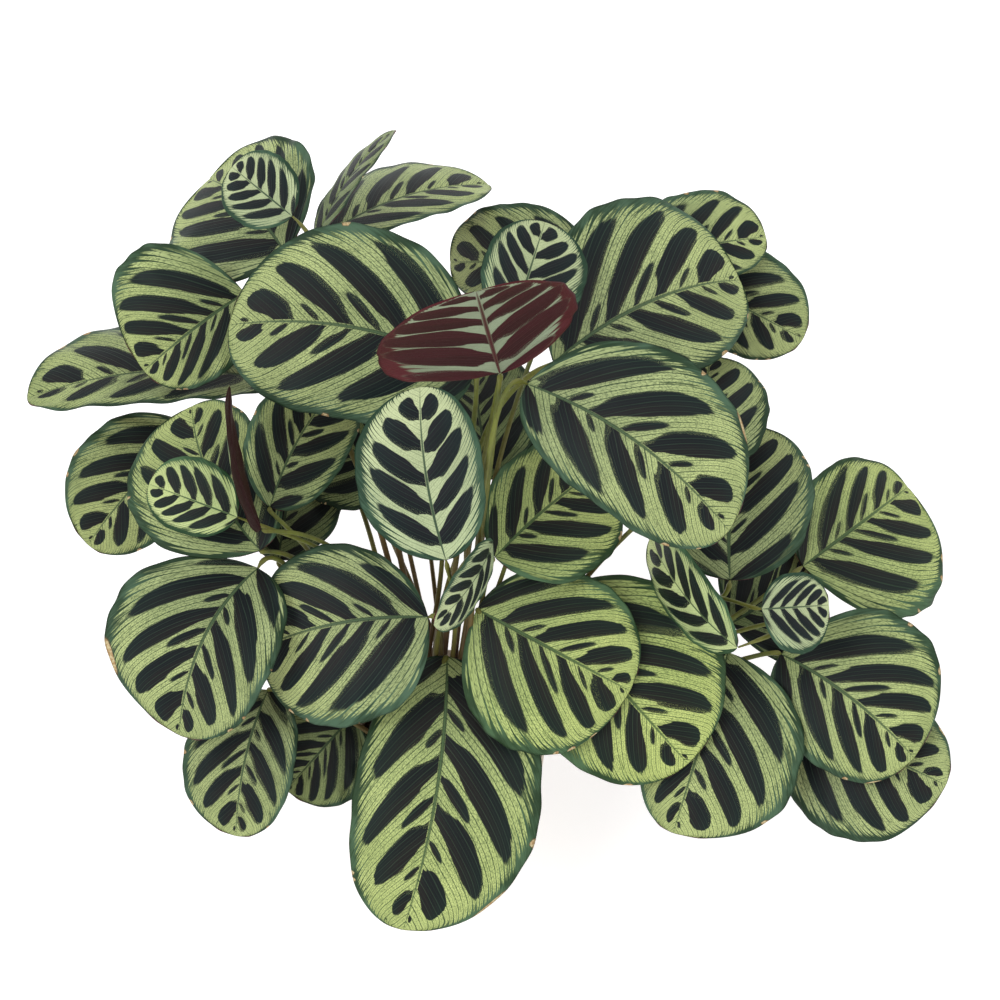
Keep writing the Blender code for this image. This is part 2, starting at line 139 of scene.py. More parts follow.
# Each leaf: name, image point of its base, height of the base in mm, image point of its tip,
# width in mm, and where the stalk leaves the soil in mm. Slant and roll are in degrees. The stalk
# has shares of its rise and of its last part, and the dip of that part. Swing, in mm, moves its
# middle.
LEAVES = [
    # Middle of the plant
    Leaf("leaf_middle_large", (527, 384), 355, (729, 531), 98, (9, 9), slant=5, uneven=-0.13,
         bend=-0.07, stalk=(0.1, 0.25, 2.6), swing=(5, 5, 20)),
    Leaf("leaf_middle_raised", (500, 373), 385, (476, 291), 112, (2, 8), "young", slant=68, roll=180,
         uneven=0.1, fold=0.05, stalk=(0.1, 0.1, 0.3), swing=(5, -10, 0)),
    Leaf("leaf_middle_young", (446, 560), 300, (420, 387), 74, (-4, 7), "young", uneven=-0.1,
         cup=-0.1, bend=-0.04, stalk=(0.05, 0.15, -0.9), swing=(15, 45, 0)),
    Leaf("leaf_middle_low", (495, 557), 258, (602, 468), 84, (13, 14), slant=-32, uneven=0.13,
         bend=-0.03, stalk=(0.15, 0.05, 0.1), swing=(0, 35, -15)),
    Leaf("leaf_middle_curled", (493, 543), 274, (434, 625), 48, (10, -3), "young", slant=25, roll=64,
         stalk=(0.2, 0.05, -2.8), swing=(-55, 35, -30)),
    Leaf("leaf_middle_shaded", (488, 480), 262, (470, 350), 66, (-7, 12), slant=-35, uneven=0.1,
         stalk=(0.25, 0.05, 0.1), swing=(-25, 0, -5)),
    Leaf("leaf_middle_back", (592, 262), 300, (450, 262), 66, (9, 22), slant=-35, uneven=0.13,
         stalk=(0.3, 0.35, 2.6), swing=(-20, -5, -20)),
    Leaf("leaf_middle_top", (512, 326), 352, (545, 222), 62, (3, 20), "young", slant=-15, uneven=0.1,
         stalk=(0.25, 0.05, 0.5), swing=(-5, 0, 0)),
    Leaf("leaf_middle_dark", (520, 470), 250, (512, 372), 60, (6, 17), slant=-30,
         stalk=(0.3, 0.3, 0.1)),
    # Back right
    Leaf("leaf_backright_large", (554, 362), 318, (740, 280), 116, (16, 21), slant=-30, uneven=-0.13,
         bend=-0.07, stalk=(0.15, 0.3, -0.1), swing=(-5, 25, -20)),
    Leaf("leaf_backright_far", (634, 260), 301, (766, 237), 61, (21, 28), slant=-15, roll=15,
         uneven=-0.2, stalk=(0.1, 0.05, 0.1), swing=(15, 5, 30)),
    Leaf("leaf_backright_low", (690, 290), 250, (796, 306), 56, (27, 22), slant=-25,
         stalk=(0.1, 0.05, 0.1), swing=(0, 2, -10)),
    Leaf("leaf_backright_outer", (674, 270), 264, (803, 339), 67, (23, 15), slant=10, uneven=-0.1,
         stalk=(0.1, 0.05, 2.8), swing=(-3, -3, 0)),
    # Back left
    Leaf("leaf_backleft_far", (285, 252), 300, (209, 179), 114, (-13, 31), slant=-52, uneven=-0.1,
         bend=0.05, stalk=(0.35, 0.25, -0.3), swing=(-5, 0, 0)),
    Leaf("leaf_backleft_young", (292, 216), 345, (232, 167), 48, (-6, 31), "young", slant=-35,
         stalk=(0.15, 0.2, 0.1), swing=(-5, -5, -5)),
    Leaf("leaf_backleft_edge", (317, 238), 335, (394, 130), 38, (-1, 34), slant=-15, roll=70,
         stalk=(0.1, 0.55, -2.8), swing=(-20, 55, 0)),
    Leaf("leaf_backleft_pointed", (322, 238), 306, (488, 184), 80, (5, 28), slant=-20, roll=58,
         uneven=-0.2, bend=-0.03, stalk=(0.1, 0.25, -2.4), swing=(15, -25, -15)),
    Leaf("leaf_backleft_large", (475, 370), 318, (229, 325), 116, (-3, 22), slant=2, uneven=0.05,
         bend=0.08, stalk=(0.3, 0.05, 2.2), swing=(0, -25, -5)),
    Leaf("leaf_backleft_outer", (245, 293), 292, (144, 371), 93, (-19, 30), uneven=0.3, bend=0.02,
         stalk=(0.4, 0.05, 1.8), swing=(40, -5, 0)),
    Leaf("leaf_backleft_flat", (275, 381), 238, (27, 398), 88, (-25, 21), roll=-50, uneven=0.3,
         bend=0.03, stalk=(0.1, 0.35, -1.1), swing=(0, 5, 5)),
    # Left
    Leaf("leaf_left_outer", (195, 430), 205, (88, 545), 77, (-32, 17), slant=5, uneven=0.1,
         bend=0.04, stalk=(0.1, 0.05, 2.6)),
    Leaf("leaf_left_broad", (260, 550), 253, (192, 406), 90, (-30, 9), slant=-25, uneven=-0.15,
         bend=-0.08, stalk=(0.35, 0.05, -1.7), swing=(-5, 75, 5)),
    Leaf("leaf_left_young", (237, 517), 285, (149, 484), 46, (-20, 24), "young", slant=-15,
         uneven=0.1, stalk=(0.3, 0.4, -0.9), swing=(-20, 50, -5)),
    Leaf("leaf_left_edge", (260, 530), 282, (229, 386), 58, (-14, 11), slant=20, roll=97,
         stalk=(0.3, 0.05, -1.2), swing=(15, 85, -10)),
    Leaf("leaf_left_inner", (270, 507), 268, (340, 385), 62, (-21, 14), slant=-20, bend=-0.06,
         stalk=(0.05, 0.2, 1.6), swing=(-15, 70, 0)),
    Leaf("leaf_left_shaded", (278, 560), 212, (299, 430), 70, (-18, -4), slant=-35,
         stalk=(0.15, 0.05, 0.1), swing=(0, -15, 15)),
    Leaf("leaf_left_hidden", (404, 470), 234, (300, 430), 76, (-14, 19), slant=-15,
         stalk=(0.35, 0.25, 0.2), swing=(10, 0, 0)),
    # Front left
    Leaf("leaf_frontleft_outer", (258, 568), 239, (179, 735), 102, (-31, 0), slant=15, uneven=0.13,
         bend=0.1, stalk=(0.1, 0.2, 0.1), swing=(-5, 5, -5)),
    Leaf("leaf_frontleft_inner", (428, 617), 229, (258, 649), 110, (-8, 1), slant=-12, uneven=-0.13,
         bend=0.06, stalk=(0.15, 0.15, 0.1), swing=(-10, 40, 5)),
    Leaf("leaf_frontleft_low", (268, 690), 172, (236, 836), 68, (-25, -16), slant=5, uneven=0.1,
         bend=0.05, stalk=(0.1, 0.05, 2.6), swing=(0, 0, 35)),
    Leaf("leaf_frontleft_hidden", (352, 716), 148, (286, 790), 70, (-23, -7), stalk=(0.6, 0.05, 0.1),
         swing=(20, 0, 0)),
    # Front
    Leaf("leaf_front_large", (447, 656), 180, (403, 930), 115, (-28, -21), slant=3, uneven=-0.13,
         bend=-0.04, stalk=(0.55, 0.05, 4.4), swing=(-30, -45, -45)),
    Leaf("leaf_front_upper", (477, 609), 213, (630, 691), 115, (16, -15), uneven=0.13,
         stalk=(0.2, 0.05, 3.9), swing=(45, 5, -20)),
    Leaf("leaf_front_right", (543, 602), 196, (688, 764), 120, (17, -9), slant=3, uneven=-0.1,
         stalk=(0.15, 0.05, 0.1), swing=(-10, -15, -25)),
    Leaf("leaf_frontright_low", (728, 652), 165, (673, 833), 98, (24, -14), slant=10, uneven=-0.3,
         stalk=(0.45, 0.05, 3.2), swing=(-5, 0, 0)),
    # Right
    Leaf("leaf_right_large", (781, 654), 162, (914, 758), 106, (34, -6), slant=5, uneven=-0.13,
         bend=-0.05, stalk=(0.1, 0.05, 0.5), swing=(30, 10, 0)),
    Leaf("leaf_right_low", (793, 711), 126, (946, 785), 98, (31, -15), slant=10, uneven=0.2,
         stalk=(0.1, 0.05, 0.7), swing=(5, 0, 10)),
    Leaf("leaf_right_outer", (803, 566), 175, (908, 487), 110, (36, 5), slant=-35, uneven=0.25,
         stalk=(0.1, 0.1, 0.1), swing=(20, -20, 0)),
    Leaf("leaf_right_broad", (730, 580), 222, (745, 425), 112, (27, 7), slant=-20, uneven=-0.1,
         bend=-0.04, stalk=(0.1, 0.1, 0.1), swing=(67, 40, -5)),
    Leaf("leaf_right_back", (696, 475), 262, (710, 356), 80, (31, 14), slant=-30,
         stalk=(0.1, 0.05, 0.1), swing=(-5, 45, 15)),
    Leaf("leaf_right_folded", (737, 648), 228, (650, 538), 62, (24, -8), "young", slant=-15, roll=58,
         stalk=(0.05, 0.6, -6.2), swing=(5, 20, 45)),
    Leaf("leaf_right_young", (762, 609), 238, (829, 605), 49, (31, -1), "young", slant=-10, uneven=0.15,
         stalk=(0.3, 0.1, -1.1), swing=(15, 110, -30)),
    Leaf("leaf_right_hidden", (732, 623), 160, (812, 574), 92, (17, 10), slant=-20,
         stalk=(0.2, 0.05, -0.2), swing=(0, 5, 0)),
]
print(len(LEAVES), "leaves in the table")

# %% [markdown]
# Node trees are easier to read as arithmetic. A Wire stands for one output in a tree, and adding
# or multiplying two wires places a Math node and joins them. The same helper serves for Geometry
# Nodes and for materials, since both have the same Math and Vector Math nodes.

# %% Arithmetic with nodes
class Wire:
    """One output socket of a node tree, to be used in plain arithmetic."""

    def __init__(self, tree, socket):
        self.tree = tree
        self.socket = socket

    def through(self, kind, settings, values, output=0):
        """Sends this wire and the values through a new node, in the order of its inputs."""
        node = self.tree.nodes.new(kind)
        for name, value in settings.items():
            setattr(node, name, value)
        for socket, value in zip(node.inputs, (self, *values)):
            plug(self.tree, value, socket)
        return Wire(self.tree, node.outputs[output])

    def math(self, operation, *values):
        return self.through("ShaderNodeMath", {"operation": operation}, values)

    def vector(self, operation, *values):
        output = "Value" if operation == "LENGTH" else "Vector"
        return self.through("ShaderNodeVectorMath", {"operation": operation}, values, output)

    def times(self, number):
        """A vector made longer or shorter by a number."""
        return place(self.tree, "ShaderNodeVectorMath", {"operation": "SCALE"}, Vector=self, Scale=number)

    def size(self):
        """The value without its sign."""
        return self.math("ABSOLUTE")

    def smooth(self, low, high, start=0.0, end=1.0):
        """A soft step from start to end while this value goes from low to high."""
        kind = {"interpolation_type": "SMOOTHSTEP"}
        return self.through("ShaderNodeMapRange", kind, (low, high, start, end))

    def __add__(self, other):
        return self.math("ADD", other)

    def __sub__(self, other):
        return self.math("SUBTRACT", other)

    def __rsub__(self, other):
        return (self * -1.0).math("ADD", other)

    def __mul__(self, other):
        return self.math("MULTIPLY", other)

    def __truediv__(self, other):
        return self.math("DIVIDE", other)

    __radd__ = __add__


def plug(tree, value, socket):
    if isinstance(value, Wire):
        tree.links.new(value.socket, socket)
    else:
        socket.default_value = value


def place(tree, kind, settings=None, output=0, **inputs):
    """Adds a node, sets what is given and returns the wire of one of its outputs."""
    node = tree.nodes.new(kind)
    for name, value in (settings or {}).items():
        setattr(node, name, value)
    for name, value in inputs.items():
        plug(tree, value, node.inputs[name.replace("_", " ")])
    return Wire(tree, node.outputs[output])


def split(tree, vector):
    """The three numbers of a vector."""
    node = tree.nodes.new("ShaderNodeSeparateXYZ")
    plug(tree, vector, node.inputs[0])
    return [Wire(tree, node.outputs[k]) for k in range(3)]


# %% [markdown]
# Every tree starts in the same way: a group with named inputs and outputs, listed here by the
# kind of value that they carry. A geometry tree runs as a modifier on an empty object, which gets
# its values before Blender looks at it for the first time. Its result is then copied to a plain
# mesh and the empty object goes, so nothing stays live and each leaf can be handled on its own.

# %% Trees with named inputs
def new_tree(name, kind, inputs, outputs):
    """A node group, a wire for each of its inputs, and the node that it ends in."""
    tree = bpy.data.node_groups.new(name, kind)
    for direction, sockets in (("OUTPUT", outputs), ("INPUT", inputs)):
        for value_kind, labels in sockets.items():
            for label in labels:
                tree.interface.new_socket(label, in_out=direction, socket_type="NodeSocket" + value_kind)
    entry = tree.nodes.new("NodeGroupInput")
    wires = {socket.name: Wire(tree, socket) for socket in entry.outputs if socket.name}
    return tree, wires, tree.nodes.new("NodeGroupOutput")


def new_geometry_tree(name, **inputs):
    tree, wires, ending = new_tree(name, "GeometryNodeTree", inputs, {"Geometry": ("Geometry",)})
    tree.is_modifier = True
    return tree, wires, ending


def finish_tree(tree, ending, geometry, finish, second=None, chosen=None):
    """Real faces and their material: a second one, where there is one, for the chosen faces."""
    real = place(tree, "GeometryNodeRealizeInstances", Geometry=geometry)
    real = place(tree, "GeometryNodeSetMaterial", Geometry=real, Material=finish)
    if second is not None:
        real = place(tree, "GeometryNodeSetMaterial", Geometry=real, Selection=chosen, Material=second)
    tree.links.new(real.socket, ending.inputs["Geometry"])


def link_object(name, data):
    made = bpy.data.objects.new(name, data)
    bpy.context.scene.collection.objects.link(made)
    return made


def run_tree(name, tree, values):
    """Runs a tree with these values on an empty object and keeps the result as a plain mesh."""
    holder = link_object(name + "_holder", bpy.data.meshes.new(name + "_holder"))
    modifier = holder.modifiers.new("grow", "NODES")
    modifier.node_group = tree
    for item in tree.interface.items_tree:
        if item.item_type == "SOCKET" and item.in_out == "INPUT":
            value = values[item.name]
            is_finish = isinstance(value, bpy.types.Material)
            modifier[item.identifier] = value if is_finish else np.asarray(value, float).tolist()
    depsgraph = bpy.context.evaluated_depsgraph_get()
    mesh = bpy.data.meshes.new_from_object(holder.evaluated_get(depsgraph), depsgraph=depsgraph)
    bpy.data.objects.remove(holder, do_unlink=True)
    mesh.name = name
    return link_object(name, mesh)


def store(tree, geometry, data_type, domain, name, value):
    """Keeps a value on every point or face, under a name that a material can read."""
    settings = {"data_type": data_type, "domain": domain}
    return place(tree, "GeometryNodeStoreNamedAttribute", settings,
                 Geometry=geometry, Name=name, Value=value)


def join_meshes(tree, *meshes):
    node = tree.nodes.new("GeometryNodeJoinGeometry")
    for mesh in reversed(meshes):
        tree.links.new(mesh.socket, node.inputs[0])
    return Wire(tree, node.outputs[0])


# %% [markdown]
# The blade starts as a flat grid. One direction of the grid is u, from the base of the blade to
# its tip, and the other is v, from its left margin to its right. The rule then bends the grid:
# the outline gives the half width at u, the arch lifts the middle, the fold raises both halves
# from the midrib, the cup turns the margins down again, and a soft ripple waves them. Sculpting
# forty blades would take days, and a rule lets every blade be different at no cost.

# %% The form of the blade
BLADE_THICKNESS = 0.0007
RIB_THICKNESS = 0.0013
RIB_HALF_WIDTH = 0.0016
RIB_GROOVE = 0.0003
TIP_HALF_WIDTH = 0.0012
# The outline: how far the widest place is from the middle, how full and how blunt the oval is
OVAL_LEAN = 1.04
OVAL_FULLNESS = 2.35
OVAL_BLUNTNESS = 0.52
# Rise of the arch and of the ripple as shares of the length, and how many ripples there are
ARCH = 0.07
RIPPLE = 0.004
RIPPLES = 2.2
RIPPLE_SIDE_STEP = 0.25
# Scallops of the margin, a coarse and a fine row: height as a share of the half width, count
SCALLOP = 0.010
COARSE_SCALLOPS = 17.0
FINE_SCALLOPS = 41.0
FINE_SHARE = 0.6
FINE_START = 1.7
SCALLOP_START = 400.0
# Flutes, the small waves that run in from the margin: count along it and inwards, inner end
FLUTES_ALONG = 31.0
FLUTES_INWARDS = 9.0
FLUTE_END = 0.45


def outline_wire(u):
    """Half width of the blade, from 0 to 1: a blunt oval."""
    near_tip = (u.math("POWER", OVAL_LEAN) * 2.0 - 1.0).size().math("POWER", OVAL_FULLNESS)
    return (1.0 - near_tip).math("MAXIMUM", 0.0).math("POWER", OVAL_BLUNTNESS)


def blade_surface(leaf, u, v):
    """The rule of the blade: where the point (u, v) of its upper face lies."""
    least = leaf["Width"].math("POWER", -1.0) * (2.0 * TIP_HALF_WIDTH)
    half = outline_wire(u).math("MAXIMUM", least) * leaf["Width"] * 0.5
    side = v.math("SIGN")
    turns = leaf["Length"] * SCALLOP_START + side
    coarse = (u * COARSE_SCALLOPS + turns).math("SINE")
    fine = (u * FINE_SCALLOPS + turns * FINE_START).math("SINE")
    scallops = (coarse + fine * FINE_SHARE) * SCALLOP * v * v * v * v
    x = half * v * (1.0 + leaf["Uneven"] * side) * (1.0 + scallops)
    bow = u * (1.0 - u) * leaf["Length"] * 4.0
    ripple = ((u * RIPPLES + side * RIPPLE_SIDE_STEP) * (2.0 * pi)).math("SINE")
    ripple = ripple * v * v * leaf["Length"] * RIPPLE
    rise = bow * ARCH + leaf["Fold"] * x.size() + leaf["Cup"] * x * x * 2.0 / leaf["Width"]
    flutes = (u * FLUTES_ALONG - v.size() * FLUTES_INWARDS).math("SINE")
    flutes = flutes * leaf["Flute"] * v.size().smooth(FLUTE_END, 1.0)
    groove = x.size().smooth(0.0, RIB_HALF_WIDTH, -RIB_GROOVE, 0.0)
    on_rib = leaf["Base"].vector("ADD", leaf["Tip"].vector("SUBTRACT", leaf["Base"]).times(u))
    sideways = leaf["Across"].times(x + leaf["Bend"] * bow)
    upwards = leaf["Face"].times(rise + ripple + flutes + groove)
    return on_rib.vector("ADD", sideways).vector("ADD", upwards)


# %% [markdown]
# A real blade is thinner than a card, but it has two faces and an edge, and so has this one. A
# second copy of the grid, turned over and set a little lower, is the underside, with the midrib
# standing out from it. Where the two meet at the margin they are merged, so the blade is one
# closed thin solid. Solidify would also give it a thickness, but not one that thins to the edge.

# %% Both faces of the blade
BLADE_ROWS = 84
BLADE_COLUMNS = 57
# How much closer the rows stand at both ends, and the columns at the margins
ROW_CROWDING = 0.09
COLUMN_CROWDING = 0.18
MARGIN_TAPER = 0.05
END_TAPER = 0.02
# Half width of the midrib underneath as a share of the blade's, at its base and at its tip
RIB_AT_BASE = 0.09
RIB_AT_TIP = 0.045
RIB_FADE = 0.6
SAME_PLACE = 0.00001


def blade_face(tree, leaf, underside):
    """One face of the blade as a grid of its own, with its u and v kept as an attribute."""
    grid = place(tree, "GeometryNodeMeshGrid", Size_X=1.0, Size_Y=1.0,
                 Vertices_X=BLADE_ROWS, Vertices_Y=BLADE_COLUMNS)
    x, y, _ = split(tree, place(tree, "GeometryNodeInputPosition"))
    even_u = x + 0.5
    even_v = y * 2.0
    u = even_u - (even_u * (2.0 * pi)).math("SINE") * ROW_CROWDING
    v = even_v * (1.0 + COLUMN_CROWDING - even_v.size() * COLUMN_CROWDING)
    both = place(tree, "ShaderNodeCombineXYZ", X=u, Y=v)
    kept = store(tree, grid, "FLOAT_VECTOR", "POINT", "leaf_uv", both)
    vector = {"data_type": "FLOAT_VECTOR"}
    u, v, _ = split(tree, place(tree, "GeometryNodeInputNamedAttribute", vector, Name="leaf_uv"))
    bent = place(tree, "GeometryNodeSetPosition", Geometry=kept, Position=blade_surface(leaf, u, v))
    if not underside:
        upper = place(tree, "GeometryNodeFlipFaces", Mesh=bent)
        return store(tree, upper, "FLOAT", "FACE", "underside", 0.0)
    rib_width = u.smooth(0.0, 1.0, RIB_AT_BASE, RIB_AT_TIP)
    rib = v.size().smooth(0.0, rib_width, 1.0, 0.0) * (1.0 - u * RIB_FADE)
    margin = (1.0 - v.size()).smooth(0.0, MARGIN_TAPER)
    ends = u.smooth(0.0, END_TAPER) * (1.0 - u).smooth(0.0, END_TAPER)
    thick = (rib * (RIB_THICKNESS - BLADE_THICKNESS) + BLADE_THICKNESS) * margin * ends
    normal = place(tree, "GeometryNodeInputNormal")
    lowered = place(tree, "GeometryNodeSetPosition", Geometry=bent, Offset=normal.times(thick))
    return store(tree, lowered, "FLOAT", "FACE", "underside", 1.0)


# %% [markdown]
# The stalk runs out of the soil, up, past a middle point, and into the base of the blade from
# below. A curve of five control points can do that, and it bends as softly as a real stalk. It is
# swept with a round section that swells a little at the joint under the blade and widens at the
# foot, where it wraps the shoots inside it.

# %% The stalk
STALK_ROWS = 56
STALK_SIDES = 14
STALK_DEPTH = 0.012
STALK_RADIUS_LEAST = 0.0013
STALK_RADIUS_PER_WIDTH = 0.0075
STALK_SLIMNESS = 0.88
# Its radius at the foot, what it loses on its way up, the joint's swelling, and the last bit
FOOT_SHARE = 1.15
TAPER_SHARE = 0.4
JOINT_SHARE = 1.25
END_SHARE = 0.40
END_DROP = 0.0011


def stalk_mesh(tree, leaf):
    """The stalk: a smooth curve through the control points, swept with a round section."""
    line = place(tree, "GeometryNodeMeshLine", Count=STALK_ROWS)
    index = place(tree, "GeometryNodeInputIndex")
    t = (index - 1.0).math("MAXIMUM", 0.0) / float(STALK_ROWS - 2)
    s = 1.0 - t
    weights = (s * s * s * s, s * s * s * t * 4.0, s * s * t * t * 6.0,
               s * t * t * t * 4.0, t * t * t * t)
    controls = ("Foot", "First", "Second", "Third", "Base")
    terms = [leaf[name].times(weight) for name, weight in zip(controls, weights)]
    point = terms[0]
    for term in terms[1:]:
        point = point.vector("ADD", term)
    buried = index.math("LESS_THAN", 0.5)
    point = point.vector("ADD", leaf["Buried"].vector("SUBTRACT", leaf["Foot"]).times(buried))
    point = point.vector("SUBTRACT", leaf["Face"].times(t.smooth(0.9, 1.0, 0.0, END_DROP)))
    kept = store(tree, line, "FLOAT", "POINT", "along_stalk", t)
    placed = place(tree, "GeometryNodeSetPosition", Geometry=kept, Position=point)
    curve = place(tree, "GeometryNodeMeshToCurve", Mesh=placed)
    thick = (leaf["Width"] * STALK_RADIUS_PER_WIDTH + STALK_RADIUS_LEAST) * STALK_SLIMNESS
    radius = thick * (FOOT_SHARE - t * TAPER_SHARE) * t.smooth(0.88, 0.96, 1.0, JOINT_SHARE)
    radius = radius * t.smooth(0.95, 1.0, 1.0, END_SHARE)
    sized = place(tree, "GeometryNodeSetCurveRadius", Curve=curve, Radius=radius)
    section = place(tree, "GeometryNodeCurvePrimitiveCircle", output="Curve",
                    Resolution=STALK_SIDES, Radius=1.0)
    return place(tree, "GeometryNodeCurveToMesh", Curve=sized, Profile_Curve=section,
                 Scale=place(tree, "GeometryNodeInputRadius"), Fill_Caps=True)


# %% [markdown]
# Blade and stalk together are one leaf. The tree joins them to one mesh and gives each of them its
# own material, which the faces of the stalk ask for by an attribute.

# %% The leaf tree
def leaf_tree():
    tree, leaf, ending = new_geometry_tree(
        "peacock_leaf",
        Float=("Length", "Width", "Uneven", "Bend", "Fold", "Cup", "Flute"),
        Vector=("Base", "Tip", "Across", "Face", "Buried", "Foot", "First", "Second", "Third"),
        Material=("Blade Finish", "Stalk Finish"))
    faces = join_meshes(tree, blade_face(tree, leaf, False), blade_face(tree, leaf, True))
    blade = place(tree, "GeometryNodeMergeByDistance", Geometry=faces, Distance=SAME_PLACE)
    stalk = store(tree, stalk_mesh(tree, leaf), "BOOLEAN", "FACE", "is_stalk", True)
    smooth = place(tree, "GeometryNodeSetShadeSmooth", Geometry=join_meshes(tree, blade, stalk))
    is_stalk = place(tree, "GeometryNodeInputNamedAttribute", {"data_type": "BOOLEAN"}, Name="is_stalk")
    finish_tree(tree, ending, smooth, leaf["Blade Finish"], leaf["Stalk Finish"], is_stalk)
    return tree


LEAF_TREE = leaf_tree()
print("leaf tree:", len(LEAF_TREE.nodes), "nodes")

# %% [markdown]
# On the real plant the upper face of a grown leaf is pale yellow green, with long and short dark
# ovals in turn on both sides of the midrib. They start thin at the midrib, follow the side veins,
# which sweep ever more towards the tip, and end roundly just inside the dark margin. The two
# sides are out of step. An image texture would be the quick way, but a pattern made of formulas
# stays sharp at any size. It needs two numbers at every point of the blade: q, the distance from
# the midrib as a share of the half width, and s, the place along the midrib where the side vein
# through the point starts. The script works out s once and keeps it as an attribute; the
# material does the rest.

# %% Where the ovals are
# Each oval: s at its middle, q where it ends, half its thickness along s
WIDE_SIDE = [
    (-0.09, 0.78, 0.054), (0.085, 0.83, 0.066), (0.19, 0.22, 0.019), (0.30, 0.82, 0.074),
    (0.42, 0.34, 0.028), (0.545, 0.76, 0.077), (0.655, 0.20, 0.017), (0.79, 0.54, 0.080),
    (0.94, 0.12, 0.013),
]
NARROW_SIDE = [
    (-0.02, 0.81, 0.058), (0.165, 0.83, 0.070), (0.275, 0.22, 0.020), (0.39, 0.82, 0.075),
    (0.51, 0.34, 0.028), (0.645, 0.70, 0.080), (0.765, 0.20, 0.017), (0.87, 0.38, 0.050),
]
YOUNG_SIDE = [
    (-0.05, 0.72, 0.052), (0.12, 0.78, 0.066), (0.295, 0.80, 0.073), (0.475, 0.78, 0.076),
    (0.66, 0.70, 0.076), (0.845, 0.50, 0.070),
]
# How much the side veins of each side lean near the tip, and how soon they reach it
WIDE_LEAN = (1.50, 0.22)
NARROW_LEAN = (1.20, 0.18)
YOUNG_LEAN = (0.92, 0.10)
LEAN_AT_BASE = 0.30
LEAN_FROM = -0.1
# The reach of a side vein: straight, then curving, then sweeping along the margin
VEIN_STRAIGHT = 0.78
VEIN_CURVE = 0.22
VEIN_SWEEP = 0.30
LONGEST_REACH = 1.5
HALVINGS = 22


def wide_half(leaf):
    """On which side of the midrib the wider half of the blade lies, -1 or 1."""
    return -1.0 if leaf.uneven <= 0 else 1.0


def vein_lean(s, lean):
    most, soon = lean
    grown = 1 - np.exp(-np.clip(s - LEAN_FROM, 0, None) / soon)
    return most * (LEAN_AT_BASE + (1 - LEAN_AT_BASE) * grown)


def vein_start(leaf, u, q, lean):
    """The place along the midrib where the side vein through a point starts, by halving."""
    out = q * (1 - np.abs(2 * u**OVAL_LEAN - 1) ** OVAL_FULLNESS) ** OVAL_BLUNTNESS
    reach = leaf.width / 2 / leaf.length * out * (VEIN_STRAIGHT + VEIN_CURVE * out + VEIN_SWEEP * q**4)
    low, high = u - LONGEST_REACH, u.copy()
    for _ in range(HALVINGS):
        s = (low + high) / 2
        past = s + reach * vein_lean(s, lean) > u
        low, high = np.where(past, low, s), np.where(past, s, high)
    return (low + high) / 2


def leaf_veins(leaf, u, v):
    """For every point: where its side vein starts, and the sizes in mm that turn s and q to lengths."""
    start, thick, long = np.zeros((3, len(u)))
    for side in (-1.0, 1.0):
        grown_lean = WIDE_LEAN if side == wide_half(leaf) else NARROW_LEAN
        lean = YOUNG_LEAN if leaf.kind == "young" else grown_lean
        here = v > 0 if side > 0 else v <= 0
        s = vein_start(leaf, u[here], np.abs(v[here]), lean)
        slant = np.sqrt(1 + vein_lean(s, lean) ** 2)
        start[here] = s
        thick[here] = leaf.length * 1000 / slant
        long[here] = leaf.width / 2 * 1000 * slant
    return start, thick, long


print(len(WIDE_SIDE) + len(NARROW_SIDE), "ovals on a grown leaf,", 2 * len(YOUNG_SIDE), "on a young one")

# %% [markdown]
# Materials are built with the same arithmetic. A few more helpers place the nodes that only
# materials have: an attribute of the mesh, a mix of two colours, a noise, a bump. Colours are
# written as on a paint chart and turned to the linear values that nodes work with, so that they
# come out in the render as they were chosen.

# %% Shader helpers
def use_group(tree, group, values):
    """Places a group in a material and returns its outputs by name."""
    node = tree.nodes.new("ShaderNodeGroup")
    node.node_tree = group
    for name, value in values.items():
        plug(tree, value, node.inputs[name])
    return {socket.name: Wire(tree, socket) for socket in node.outputs}


def attribute(tree, name, output="Fac"):
    return place(tree, "ShaderNodeAttribute", {"attribute_name": name}, output)


def own_place(tree):
    """Where a point lies on its own object."""
    return place(tree, "ShaderNodeTexCoord", output="Object")


def mix(tree, share, first, second, blend="MIX"):
    """Mixes two colours."""
    node = tree.nodes.new("ShaderNodeMix")
    node.data_type = "RGBA"
    node.blend_type = blend
    for value, socket in zip((share, first, second), (node.inputs[0], node.inputs[6], node.inputs[7])):
        plug(tree, value, socket)
    return Wire(tree, node.outputs[2])


def noise(tree, scale, detail, roughness, vector):
    return place(tree, "ShaderNodeTexNoise", output="Fac", Scale=scale, Detail=detail,
                 Roughness=roughness, Vector=vector)


def stretched_noise(tree, scale, detail, roughness, vector, stretch):
    """A noise drawn out along the axes where the stretch is small."""
    drawn = place(tree, "ShaderNodeMapping", Vector=vector, Scale=stretch)
    return noise(tree, scale, detail, roughness, drawn)


def colour(hexadecimal):
    """A colour from its six hexadecimal digits, as linear red, green, blue and alpha."""
    parts = [int(hexadecimal[k:k + 2], 16) / 255 for k in (0, 2, 4)]
    return (*[((c + 0.055) / 1.055) ** 2.4 if c > 0.04 else c / 12.92 for c in parts], 1.0)


def new_material(name):
    """A material, its tree and its Principled shader."""
    made = bpy.data.materials.new(name)
    made.use_nodes = True
    return made, made.node_tree, made.node_tree.nodes["Principled BSDF"]


def dress(tree, shader, paint, gloss, height, strength, distance):
    """Joins a colour, a roughness and a height for the bump to the shader."""
    relief = place(tree, "ShaderNodeBump", output="Normal", Strength=strength, Distance=distance,
                   Height=height)
    for value, name in ((paint, "Base Color"), (gloss, "Roughness"), (relief, "Normal")):
        plug(tree, value, shader.inputs[name])


print("a leaf green as the nodes see it:", [round(c, 3) for c in colour("B1BF86")])

